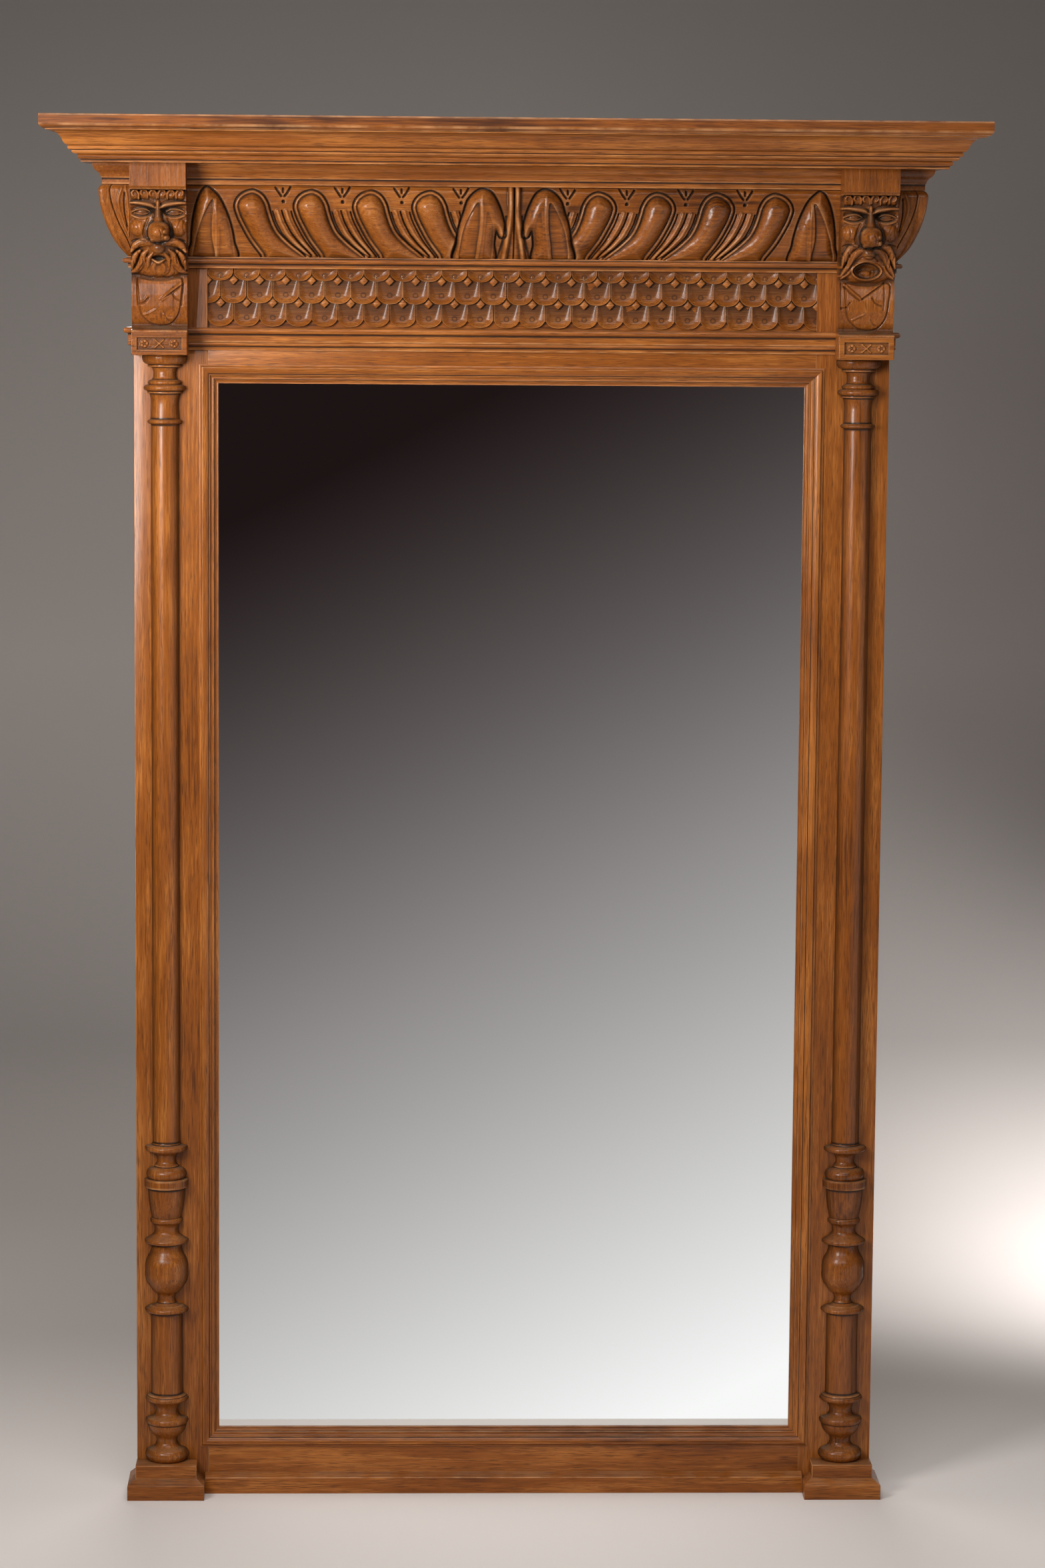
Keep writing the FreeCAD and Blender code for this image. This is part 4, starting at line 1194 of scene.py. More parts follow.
def joined_mesh(name: str, meshes: Sequence[bpy.types.Mesh]) -> bpy.types.Mesh:
    """Several meshes as one, with their dirt and painted shade and their wear.

    Args:
        name: The new mesh's name.
        meshes: The meshes.

    Returns:
        The new mesh.
    """
    form = bmesh.new()
    for mesh in meshes:
        form.from_mesh(mesh)
    made = bpy.data.meshes.new(name)
    form.to_mesh(made)
    form.free()
    return made


@dataclass
class JoinedFrame:
    """Stiles, rails, plinths and skirting: the straight work of the mirror."""

    shop: Workshop
    upright: Sequence[str] = ("stile_left", "stile_right")
    level: Sequence[str] = ("bottom_rail", "top_rail", "upper_rail", "skirting_strip")
    blocks: Sequence[str] = ("plinth_base_left", "plinth_base_right", "plinth_die_left", "plinth_die_right")

    def build(self) -> None:
        """Adds the pieces."""
        oak = self.shop.palette.oak
        for node in self.upright:
            self.shop.soften(node, Grain.ALONG_Z, oak)
        for node in (*self.level, *self.blocks):
            self.shop.soften(node, Grain.ALONG_X, oak)


@dataclass
class SightFrame:
    """The four mitred lengths of moulding round the glass."""

    shop: Workshop
    datum: Datum
    corners: Sequence[Point] = (
        (0.0, 0.0), (1.8, 0.0), (5.6, 4.3, -0.35), (5.6, 6.0), (1.5, 13.5, 0.2), (1.5, 15.1),
        (-2.2, 20.2, -0.6), (-5.2, 21.3), (-5.2, 22.1), (-7.2, 27.0, -0.6), (-11.0, 27.0), (-11.0, 12.0),
        (0.0, 12.0),
    )
    softness: float = 0.5

    def build(self) -> None:
        """Adds the pieces."""
        outline = Outline.worked(self.corners, self.softness)
        left, right = span("sight_moulding_left", Axis.X)[0], span("sight_moulding_right", Axis.X)[1]
        low, high = span("sight_moulding_left", Axis.Z)
        face = self.datum.face
        lines = {
            "left": ((left, low), (left, high), (1, 1), (1, -1), Grain.ALONG_Z),
            "right": ((right, low), (right, high), (-1, 1), (-1, -1), Grain.ALONG_Z),
            "bottom": ((left, low), (right, low), (1, 1), (-1, 1), Grain.ALONG_X),
            "top": ((left, high), (right, high), (1, -1), (-1, -1), Grain.ALONG_X),
        }
        for word, (start, end, start_in, end_in, grain) in lines.items():
            stations = [
                Station((spot[0], face, spot[1]), (0, -1, 0), (turn[0], 0, turn[1]))
                for spot, turn in ((start, start_in), (end, end_in))
            ]
            self.shop.piece(f"sight_moulding_{word}", sweep(outline, stations), grain)


@dataclass
class Glazing:
    """The mirror glass, the boards behind it and the fixings at the back."""

    shop: Workshop
    datum: Datum
    rows: RowOfCopies
    boards: int = 5
    dressed: Sequence[str] = ("side_glass_blocks", "end_glass_blocks", "corner_blocks", "cornice_back_rail")
    screws: Sequence[tuple[str, int, int]] = (
        ("back_screws", 10, 2), ("column_screws", 2, 3), ("console_screws", 2, 2),
    )
    head_radius: float = 4.4
    head_rings: Sequence[float] = (0.12, 0.3, 0.5, 0.7, 0.86, 0.97, 1.0)
    head_segments: int = 32
    edge_drop: float = 0.5
    slot_half: float = 0.72
    slot_depth: float = 1.0
    slot_turn: float = 1.5
    shank_share: float = 0.6
    shank_depth: float = 6.0

    def build(self) -> None:
        """Adds the pieces."""
        palette = self.shop.palette
        self.shop.dress("mirror_glass", palette.mirror)
        for number in range(1, self.boards + 1):
            self.shop.soften(f"back_board_{number}", Grain.ALONG_Z, palette.backing)
        for node in self.dressed:
            self.shop.dress(node, palette.backing)
        self.shop.dress("cornice_screws", palette.steel)
        for node, across, up in self.screws:
            self._screws(node, across, up)

    def _screws(self, node: str, across: int, up: int) -> None:
        """Adds the heads of one set of screws.

        Args:
            node: The CAD node of the set.
            across: How many heads a row has.
            up: How many rows there are.
        """
        inset, steel = self.head_radius, self.shop.palette.steel
        left, right = span(node, Axis.X)[0] + inset, span(node, Axis.X)[1] - inset
        low, high = span(node, Axis.Z)[0] + inset, span(node, Axis.Z)[1] - inset
        pitch = (right - left) / (across - 1) * MM
        meshes = []
        for row in range(up):
            level = low + (high - low) * row / (up - 1)
            meshes.append(self.rows.mesh(
                f"{node} row {row}", self._head(), Count=across, Step=(pitch, 0.0, 0.0),
                Start=(left * MM, self.datum.back * MM, level * MM),
                Turn=(0.0, self.slot_turn, 0.0), Seed=row + 3, Finish=steel))
        self.shop.add(f"{node}_piece", joined_mesh(node, meshes), [node], Grain.ALONG_X, steel)

    def _head(self) -> bpy.types.Mesh:
        """One slotted screw head with its middle at the origin.

        Returns:
            The head.
        """
        angles = np.linspace(0, 2 * math.pi, self.head_segments, endpoint=False)
        rings = []
        for share in self.head_rings:
            x, z = np.cos(angles) * share * self.head_radius, np.sin(angles) * share * self.head_radius
            slot = np.where(np.abs(z) < self.slot_half, self.slot_depth, 0.0)
            rings.append(np.stack([x, -(slot + self.edge_drop * (share >= 1.0)), z], axis=1))
        shank = rings[-1] * np.array([self.shank_share, 0.0, self.shank_share])
        rings.append(shank - np.array([0.0, self.shank_depth, 0.0]))
        blank = np.zeros(len(rings) * self.head_segments)
        return tube(rings, blank, blank).mesh("screw head")


@dataclass(frozen=True)
class MouldingShape:
    """A moulding's nodes, its reach and its outline as shares of its reach and its height."""

    front: str
    returns: str
    reach: float
    shares: Sequence[Point]
    softness: float = 0.6

    def outline(self, height: float) -> Outline:
        """The moulding's outline.

        Args:
            height: Its height, in millimetres.

        Returns:
            The outline, out from its seat and up from its foot.
        """
        corners = [(out * self.reach, up * height, *bend) for out, up, *bend in self.shares]
        return Outline.worked(corners, self.softness)


@dataclass
class HeadMouldings:
    """Strip, astragal and bed moulding across the head, with their returns."""

    shop: Workshop
    datum: Datum
    shapes: Sequence[MouldingShape] = (
        MouldingShape(
            "strip_moulding_front", "strip_return", 13.6,
            (
                (0.0, 1.0), (0.72, 1.0), (0.72, 0.74, -0.9), (0.55, 0.72), (0.55, 0.36), (0.42, 0.36),
                (0.42, 0.20, -0.8), (0.26, 0.20), (0.26, 0.0), (0.0, 0.0),
            ),
        ),
        MouldingShape(
            "astragal_front", "astragal_return", 16.0,
            (
                (0.0, 1.0), (0.55, 1.0), (0.55, 0.84), (0.74, 0.84), (0.74, 0.42, -0.85), (0.44, 0.40),
                (0.44, 0.0), (0.0, 0.0),
            ),
        ),
        MouldingShape(
            "bed_moulding_front", "bed_return", 54.0,
            (
                (0.0, 1.0), (1.0, 1.0), (1.0, 0.93), (0.90, 0.62, -0.22), (0.79, 0.32, 0.22), (0.77, 0.28),
                (0.77, 0.0), (0.0, 0.0),
            ),
        ),
    )

    def build(self) -> None:
        """Adds the pieces."""
        datum = self.datum
        for shape in self.shapes:
            low, high = span(shape.front, Axis.Z)
            outline = shape.outline(high - low)
            ends = [Station((datum.console_in * side.value, datum.face, low), (0, -1, 0)) for side in Side]
            self.shop.piece(shape.front, sweep(outline, ends), Grain.ALONG_X)
            for side in Side:
                sign, edge = side.value, datum.frame_half * side.value
                stations = [
                    Station((edge, datum.face, low), (0, -1, 0)),
                    Station((edge, datum.face, low), (sign, -1, 0)),
                    Station((edge, datum.back, low), (sign, 0, 0)),
                ]
                self.shop.piece(f"{shape.returns}_{side.word}", sweep(outline, stations), Grain.ALONG_Y)


@dataclass
class GadroonFrieze:
    """The carved frieze: a swelling ground with gadroons, reeds and leaves, and its side returns."""

    shop: Workshop
    datum: Datum
    heads: Sequence[float] = (119.0, 202.7, 286.4, 370.1)
    pitch: float = 83.7
    lobe: Sequence[Point] = (
        (0, 94), (-12.5, 90), (-21, 82), (-24.4, 71.7), (-21.5, 60), (-16.5, 48.3), (-3.8, 25), (12, 3.3),
        (20, -8), (88, -8), (69, 6.7), (52, 20), (37.3, 35), (29.5, 50), (24.7, 65), (22, 75), (16.5, 85),
        (9.5, 91),
    )
    near_edge: Sequence[Point] = (
        (-10, 84), (6.7, 69), (20, 52), (35, 37.3), (50, 29.5), (65, 24.7), (75, 22),
    )
    far_edge: Sequence[Point] = ((-8, 20), (3.3, 12), (25, -3.8), (48.3, -16.5), (60, -21.5), (71.7, -24.4))
    reeds: Sequence[Point] = (
        (0.12, 1.6, -3.4), (0.30, 3.4, 2.4), (0.47, 1.6, -3.6), (0.64, 3.4, 2.4), (0.84, 1.6, -3.2),
    )
    end_leaf: Sequence[Point] = (
        (456.8, -4), (456.2, 21.7), (454.3, 45), (449.9, 68.3), (443.5, 86.7), (435, 97.7), (425.5, 92.3),
        (416, 81.7), (406.5, 61.7), (400.2, 41.7), (396.7, 21.7), (395.4, -4),
    )
    end_folds: Sequence[Sequence[Point]] = (
        (
            (453.3, -4), (450.9, 22.4), (446.2, 37.4), (436.7, 61.1), (425.5, 80), (427.3, 54.9), (428, 29.9),
            (425.6, -4),
        ),
        (
            (415.5, -4), (415.8, 25), (415.2, 45), (411.5, 51.5), (404.8, 52), (400.8, 31.7), (398.2, 11.7),
            (397.6, -4),
        ),
    )
    end_vein: Sequence[Point] = ((421, 80), (420.9, 49.9), (421.5, -2))
    middle_leaf: Sequence[Point] = (
        (83.5, -4), (80.6, 25), (77.1, 46.7), (71.1, 65), (63.9, 84.3), (47.4, 97.7), (33.2, 93.3),
        (23.7, 78.3), (16.4, 58.3), (12, 34.3), (18.9, 31), (25.3, 40), (28.5, 22), (30, -4),
    )
    middle_folds: Sequence[Sequence[Point]] = (
        (
            (75.9, -4), (74.3, 25), (68.9, 46.7), (60.1, 65), (50.4, 78), (49.5, 48.3), (52.7, 21.7),
            (57.4, -4),
        ),
        ((42.7, -4), (41.1, 25), (39.5, 48.3), (37.3, 66), (31, 50), (29.6, 34.3), (33.2, -4)),
    )
    middle_vein: Sequence[Point] = ((45.8, 88), (44.9, 48.3), (51.2, -2))
    fold_sinks: Sequence[float] = (2.8, 0.9)
    swell: Sequence[Point] = (
        (0.0, 0.0), (0.15, 0.0), (0.62, 0.28, 0.10), (1.0, 0.90, 0.10), (0.86, 1.0, 0.35), (0.0, 1.0),
    )
    return_lines: Sequence[Stroke] = (
        (((32.6, 104), (31.6, 76), (24, 44), (12, 20), (3, -4)), 1.7, -3.4),
        (((14, 95), (19.5, 76), (15, 48), (8, 29)), 2.6, 1.8),
        (((9, 99), (5.5, 76), (5, 48), (8, 29)), 2.4, 1.6), (((10.6, 89), (12, 66), (9.5, 42)), 1.5, -2.6),
        (((42, 104), (41, 60), (38, -4)), 7.0, 1.6), (((73, 106), (71, 60), (69, -4)), 1.7, -3.2),
        (((99, 106), (97, 60), (95, -4)), 1.7, -3.2), (((60, 106), (59, 50), (58, -4)), 9.0, 1.8),
        (((86, 106), (84, 50), (82, -4)), 9.0, 1.8), (((113, 106), (111, 50), (109, -4)), 9.0, 1.8),
    )
    bowl: Sequence[Point] = ((0, 8.0), (20, 10.5), (50, 13.0), (75, 12.4), (93, 10.0))
    tulip: Sequence[Stroke] = (
        (((33, 98), (37.5, 91), (41, 86)), 2.3, -3.4), (((54, 99), (49.5, 91), (45.5, 86)), 2.3, -3.4),
        (((43.4, 97), (43.4, 91.5)), 2.3, -3.4), (((43.6, 78.7), (43.8, 78.2)), 3.2, -4.4),
    )
    middle_lines: Sequence[Stroke] = (
        (((4.8, 101), (5.6, 55), (14, -2)), 5.5, 6.0), (((11.5, 60), (15, 30), (24, -2)), 2.2, -2.2),
    )
    middle_cut: Stroke = (((0, 104), (0, 50), (0, -2)), 1.8, -3.0)
    reach: float = 47.5
    ground: float = 10.0
    skin: float = 1.0
    deepest: float = -3.5
    clearance: float = 0.2
    return_clearance: float = 2.2
    return_deepest: float = -8.0
    margin: float = 4.0
    leaf_margin: float = 5.0
    columns: int = 660
    levels: int = 145
    return_columns: Sequence[int] = (72, 96)
    return_levels: int = 110

    def build(self) -> None:
        """Adds the front and the two returns."""
        datum, oak = self.datum, self.shop.palette.oak
        height = datum.bed_low - datum.frieze_low
        swell = self._swell(self.reach - self.ground, height)

        def place(made: Carving) -> np.ndarray:
            """The carved front in the row frame.

            Args:
                made: The carving.

            Returns:
                Its points.
            """
            out = np.interp(made.up, swell[:, 1], swell[:, 0]) + made.height
            out = np.minimum(out, self.reach - self.clearance)
            return np.stack([made.across, datum.face - out, datum.frieze_low + made.up], axis=-1)

        for side in Side:
            ends = sorted((0.0, datum.console_in * side.value))
            carving = Carving(np.linspace(*ends, self.columns), np.linspace(0, height, self.levels))
            self._carve(carving)
            name = f"frieze_front_{side.word}"
            mesh = carving.solid(place, datum.to_face, dirt_and_shade_reach=5, dirt_and_shade_scale=1.8).mesh(name)
            self.shop.add(name, mesh, ["frieze_front"], Grain.ALONG_X, oak, crease=80)
            self._return(side, height)

    def _swell(self, reach: float, height: float) -> np.ndarray:
        """The ground's outline, out from the face and up, without its seat.

        Args:
            reach: How far the ground swells out.
            height: The frieze's height.

        Returns:
            The outline's points, from low to high.
        """
        line = Outline.with_arcs([(out * reach, up * height, *rest) for out, up, *rest in self.swell])
        line = line[line[:, 0] > 0.01]
        return line[np.argsort(line[:, 1])]

    def _carve(self, carving: Carving) -> None:
        """Carves the gadroons, then the leaves over them.

        Args:
            carving: Half of the frieze's front.
        """
        carving.height += self.skin
        for side in Side:
            for head in self.heads:
                self._gadroon(carving, side.value, head)
        for side in Side:
            for outline, folds, vein in (
                (self.end_leaf, self.end_folds, self.end_vein),
                (self.middle_leaf, self.middle_folds, self.middle_vein),
            ):
                lines = [turned(line, side.value) for line in (outline, vein, *folds)]
                self._leaf(carving, lines[0], lines[1], lines[2:])
            carving.strokes(self.middle_lines, side.value)
        carving.stroke(*self.middle_cut)
        carving.height = np.maximum(carving.height, self.deepest)
        carving.roughen(seed=5, size=2, rise=0.05)

    def _gadroon(self, carving: Carving, sign: int, head: float) -> None:
        """Carves one gadroon with its rim, and the reeds and the small tulip beside it.

        Args:
            carving: Half of the frieze's front.
            sign: The side of the frieze, as a sign on X.
            head: How far from the middle the gadroon's head is.
        """
        def put(points: Sequence[Point]) -> list[Point]:
            """A line's points, from the gadroon's head inwards."""
            return [((head - x) * sign, z) for x, z in points]

        outline = put(self.lobe)
        window = carving.near(smooth_line(outline, steps=6, closed=True), self.margin)
        full = np.interp(carving.up[window], *np.array(self.bowl).T)

        def lobe(depth: np.ndarray, old: np.ndarray) -> np.ndarray:
            """The gadroon's heights: a bead as its rim, a full bowl in it and a cut round it.

            Args:
                depth: How far inside the gadroon each place is.
                old: The heights before.

            Returns:
                The new heights.
            """
            bead = 2.6 * np.sqrt(np.clip(1 - ((depth - 2.3) / 2.3) ** 2, 0, 1))
            rim = bead - 0.8 * bell((depth - 4.6) / 1.5)
            bowl = full * (1 - (1 - np.clip((depth - 4.4) / 19, 0, 1)) ** 2) ** 0.8
            outside = old - 3.0 * bell((depth + 1.2) / 1.8)
            return np.where(depth > 0, np.maximum(rim, bowl), outside)

        carving.shape(outline, lobe, self.margin)
        levels = np.linspace(66, 3, 9)
        near = np.interp(levels, *np.array(self.near_edge).T)
        far = np.interp(levels, *np.array(self.far_edge).T) + self.pitch
        for share, width, rise in self.reeds:
            across = (1 - share) * near + share * far
            carving.stroke(put(list(zip(across, levels - 4 * abs(share - 0.5)))), width, rise)
        for line, width, rise in self.tulip:
            carving.stroke(put(line), width, rise)

    def _leaf(
        self, carving: Carving, outline: list[Point], vein: list[Point], folds: list[list[Point]],
    ) -> None:
        """Carves one leaf with its vein and its two sunk folds.

        Args:
            carving: Half of the frieze's front.
            outline: The leaf's outline.
            vein: The points of its vein.
            folds: The outlines of its folds.
        """
        def blade(depth: np.ndarray, old: np.ndarray) -> np.ndarray:
            """The leaf's heights: a swelling blade with a cleared ground round it.

            Args:
                depth: How far inside the leaf each place is.
                old: The heights before.

            Returns:
                The new heights.
            """
            cleared = old - old * step(-4.0, -1.0, depth)
            outside = cleared - 3.0 * bell((depth + 1.2) / 1.9)
            return np.where(depth > 0, 0.4 + 8.6 * step(-0.5, 14.0, depth) ** 0.6, outside)

        carving.shape(outline, blade, self.leaf_margin)
        for line, sink in zip(folds, self.fold_sinks):
            def fold(depth: np.ndarray, old: np.ndarray) -> np.ndarray:
                """A fold's heights, deepest along its rim."""
                return old - sink * step(-0.4, 1.6, depth) - 0.8 * sink * bell(depth / 1.5)

            carving.shape(line, fold, self.margin)
        carving.stroke(vein, width=2.6, rise=1.0)

    def _return(self, side: Side, height: float) -> None:
        """Adds one side return, with a leaf on its front and ribs on its flank.

        Args:
            side: The mirror's side.
            height: The frieze's height.
        """
        sign, datum = side.value, self.datum
        levels = np.linspace(0, height, self.return_levels)
        swell = self._swell(self.reach, height)
        out = np.interp(levels, swell[:, 1], swell[:, 0])
        depth = datum.back - datum.face
        length = self.reach + depth
        front = np.linspace(0, self.reach, self.return_columns[0])
        flank = self.reach + np.linspace(0, length, self.return_columns[1])[1:]
        carving = Carving(np.concatenate([front, flank]), levels)
        carving.strokes(self.return_lines)
        carving.height = np.clip(carving.height - self.return_clearance, self.return_deepest, 0.0)

        def place(made: Carving) -> np.ndarray:
            """The carved front and flank in the row frame.

            Args:
                made: The carving.

            Returns:
                Its points.
            """
            reach = np.maximum(out[:, None] + made.height, 0.6)
            across = np.minimum(made.across / self.reach, 1.0) * reach
            run = np.clip((made.across - self.reach) / length, 0, 1)
            y = datum.face - reach + run * (reach + depth)
            return np.stack([sign * (datum.frame_half + across), y, datum.frieze_low + made.up], axis=-1)

        def back(rim: np.ndarray) -> np.ndarray:
            """Points of the rim, moved to the frame's edge."""
            seat = np.full(len(rim), sign * datum.frame_half)
            return np.stack([seat, np.clip(rim[:, 1], datum.face, datum.back), rim[:, 2]], axis=-1)

        solid = carving.solid(place, back, dirt_and_shade_reach=4, dirt_and_shade_scale=1.8)
        self.shop.piece(f"frieze_return_{side.word}", solid, Grain.ALONG_Z, crease=70)


@dataclass
class ScalePanel:
    """Rows of hollowed scales with small diamonds between them, on a plain board."""

    shop: Workshop
    datum: Datum
    rows: RowOfCopies
    scales_across: float = 23.5
    relief: float = 7.0
    levels: Sequence[tuple[float, float, float]] = ((2.0, 0.5, 12.5), (34.5, 0.0, 12.5), (66.5, 0.5, 8.0))
    outline: Sequence[Point] = ((18.3, 38), (18.3, 13), (17.4, 9), (13.6, 4.4), (8.2, 1.3), (0, 0))
    rings: Sequence[float] = (
        0.05, 0.09, 0.13, 0.17, 0.21, 0.26, 0.34, 0.44, 0.55, 0.66, 0.77, 0.86, 0.92, 0.96, 0.985, 1.0,
    )
    length: float = 38.0
    hollow: float = 5.6
    rim_top: float = 1.6
    rim_rise: float = 5.0
    diamond: float = 7.2
    # Share of the half size, reach out of the board, dirt and painted shade, and wear
    facets: Sequence[Point] = (
        (1.0, -0.8, 1.0, 0.0), (1.0, 3.6, 1.0, 0.0), (0.86, 4.6, 1.0, 0.1), (0.74, 5.4, 0.0, 0.3),
        (0.1, 5.9, 0.0, 0.0),
    )
    turn: Point = (0.012, 0.03, 0.012)
    swell: float = 0.012

    def build(self) -> None:
        """Adds the board and the rows."""
        (left, right), (_, back) = span("scale_panel", Axis.X), span("scale_panel", Axis.Y)
        low, high = self.datum.strip_top, self.datum.panel_top
        pitch = (right - left) / self.scales_across
        ground = self.datum.face + self.relief
        board = box_surface((left, ground, low), (right, back, high)).mesh("scale board")
        count = math.ceil(self.scales_across)
        meshes = []
        for number, (level, shift, dot) in enumerate(self.levels):
            scale = self._scale(min(self.length, high - low - level + 1.0), dot)
            start = (left + pitch * shift, ground, low + level)
            scales = count if shift else count + 1
            meshes.append(self._row(f"scales {number}", scale, scales, start, pitch, number))
            if number:
                start = (left + pitch * (0.5 - shift), ground, low + level + 0.8)
                diamond = self._diamond()
                meshes.append(self._row(f"diamonds {number}", diamond, count, start, pitch, 7 + number))
        rows = self._trim(joined_mesh("scale rows", meshes), left, right, low, high)
        oak = self.shop.palette.oak
        self.shop.add("scale_panel_board", board, ["scale_panel"], Grain.ALONG_X, oak)
        self.shop.add("scale_panel_scales", rows, ["scale_panel"], Grain.ALONG_X, oak, crease=50)

    def _row(
        self, name: str, copy: bpy.types.Mesh, count: int, start: Point, pitch: float, seed: int,
    ) -> bpy.types.Mesh:
        """One row of copies along X.

        Args:
            name: The row's name.
            copy: The mesh that is repeated.
            count: How many copies there are.
            start: The place of the first one.
            pitch: How far apart they are.
            seed: The seed of their small turns and sizes.

        Returns:
            The row's mesh.
        """
        return self.rows.mesh(
            name, copy, Count=count, Start=tuple(value * MM for value in start),
            Step=(pitch * MM, 0.0, 0.0), Turn=self.turn, Swell=self.swell, Seed=seed,
            Finish=self.shop.palette.oak)

    @staticmethod
    def _trim(mesh: bpy.types.Mesh, left: float, right: float, low: float, high: float) -> bpy.types.Mesh:
        """Cuts a mesh off at the panel's edges and closes it there.

        Args:
            mesh: The mesh.
            left: The panel's left edge.
            right: Its right edge.
            low: Its foot.
            high: Its top.

        Returns:
            The same mesh.
        """
        form = bmesh.new()
        form.from_mesh(mesh)
        for place, normal in (
            ((left, 0, 0), (-1, 0, 0)), ((right, 0, 0), (1, 0, 0)),
            ((0, 0, low), (0, 0, -1)), ((0, 0, high), (0, 0, 1)),
        ):
            geometry = [*form.verts, *form.edges, *form.faces]
            made = bmesh.ops.bisect_plane(
                form, geom=geometry, plane_co=Vector(place) * MM, plane_no=Vector(normal), clear_outer=True)
            cut = [item for item in made["geom_cut"] if isinstance(item, bmesh.types.BMEdge)]
            bmesh.ops.edgenet_fill(form, edges=cut)
        bmesh.ops.recalc_face_normals(form, faces=form.faces)
        form.to_mesh(mesh)
        form.free()
        return mesh

    def _scale(self, top: float, dot: float) -> bpy.types.Mesh:
        """One scale: a dish with a rim that is highest at its foot, and a ringed dot in it.

        Args:
            top: How high the scale is.
            dot: How high its dot sits.

        Returns:
            The scale, with its foot at the origin.
        """
        half = smooth_line([(u, min(v, top)) for u, v in self.outline], 6)
        ring = np.concatenate([half, (half * np.array([-1, 1]))[-2::-1]])
        ring = np.concatenate([ring, np.linspace(ring[-1], ring[0], 10)[1:-1]])
        middle = np.array([0.0, dot])
        layers, dirt, wear = [], [], []
        for share in self.rings:
            spots = middle + (ring - middle) * share
            rim = self.rim_top + self.rim_rise * np.clip(1 - spots[:, 1] / self.length, 0, 1)
            away = np.hypot(spots[:, 0], spots[:, 1] - dot)
            dish = self.hollow * (1 - np.clip(share / 0.985, 0, 1) ** 2.2)
            knob = 1.2 * bell(away / 2.3) - 1.0 * bell((away - 3.3) / 1.2)
            soft = -0.4 * np.clip((share - 0.975) / 0.025, 0, 1) ** 2
            out = np.maximum(rim - dish + knob + soft, 0.3)
            layers.append(np.stack([spots[:, 0], -out, spots[:, 1]], axis=1))
            # Painted shade: each scale darkens towards its top, under the row above; the groove round the dot
            # and the deep dish take dirt and painted shade.
            shade = 0.6 * np.clip((spots[:, 1] - 7.0) / 24.0, 0, 1)
            dirt.append(np.clip(0.5 * bell((away - 3.2) / 1.3) + 0.2 * dish / self.hollow + shade, 0, 1))
            wear.append(np.full(len(spots), 0.6 * float(0.95 < share < 1.0)))
        wall = layers[-1].copy()
        wall[:, 1] = np.minimum(wall[:, 1] * 0.35, -0.2)
        foot = layers[-1] * np.array([1, 0, 1]) + np.array([0, 0.8, 0])
        count = len(ring)
        # The walls and the foot, in the gaps between scales, are dark with painted shade.
        dirt += [np.full(count, 0.95), np.ones(count)]
        wear += [np.zeros(count), np.zeros(count)]
        return tube([*layers, wall, foot], np.concatenate(dirt), np.concatenate(wear)).mesh("scale")

    def _diamond(self) -> bpy.types.Mesh:
        """A flat diamond with its middle at the origin.

        Returns:
            The diamond.
        """
        turns = np.radians([5, 85, 95, 175, 185, 265, 275, 355])
        # The upper-left and lower-right sides take full dirt and painted shade, the other sides little.
        cut = np.array([0.1, 0.1, 1.0, 1.0, 0.1, 0.1, 1.0, 1.0])
        layers, dirt, wear = [], [], []
        for half, out, soil_and_shade, rub in self.facets:
            reach = self.diamond * half / (np.abs(np.cos(turns)) + np.abs(np.sin(turns)))
            x, z = reach * np.cos(turns), reach * np.sin(turns)
            layers.append(np.stack([x, np.full(len(turns), -out), z], axis=1))
            dirt.append(soil_and_shade * cut)
            wear.append(np.full(len(turns), rub))
        return tube(layers, np.concatenate(dirt), np.concatenate(wear)).mesh("diamond")


class Mouth(Enum):
    """The two masks' mouths."""

    SHUT = "shut"
    OPEN = "open"


@dataclass(frozen=True)
class Strand:
    """A lock of hair or a fold: its points, half of its width at each, its foot and its rise."""

    points: Sequence[Point]
    widths: Sequence[float]
    foot: float
    rise: float


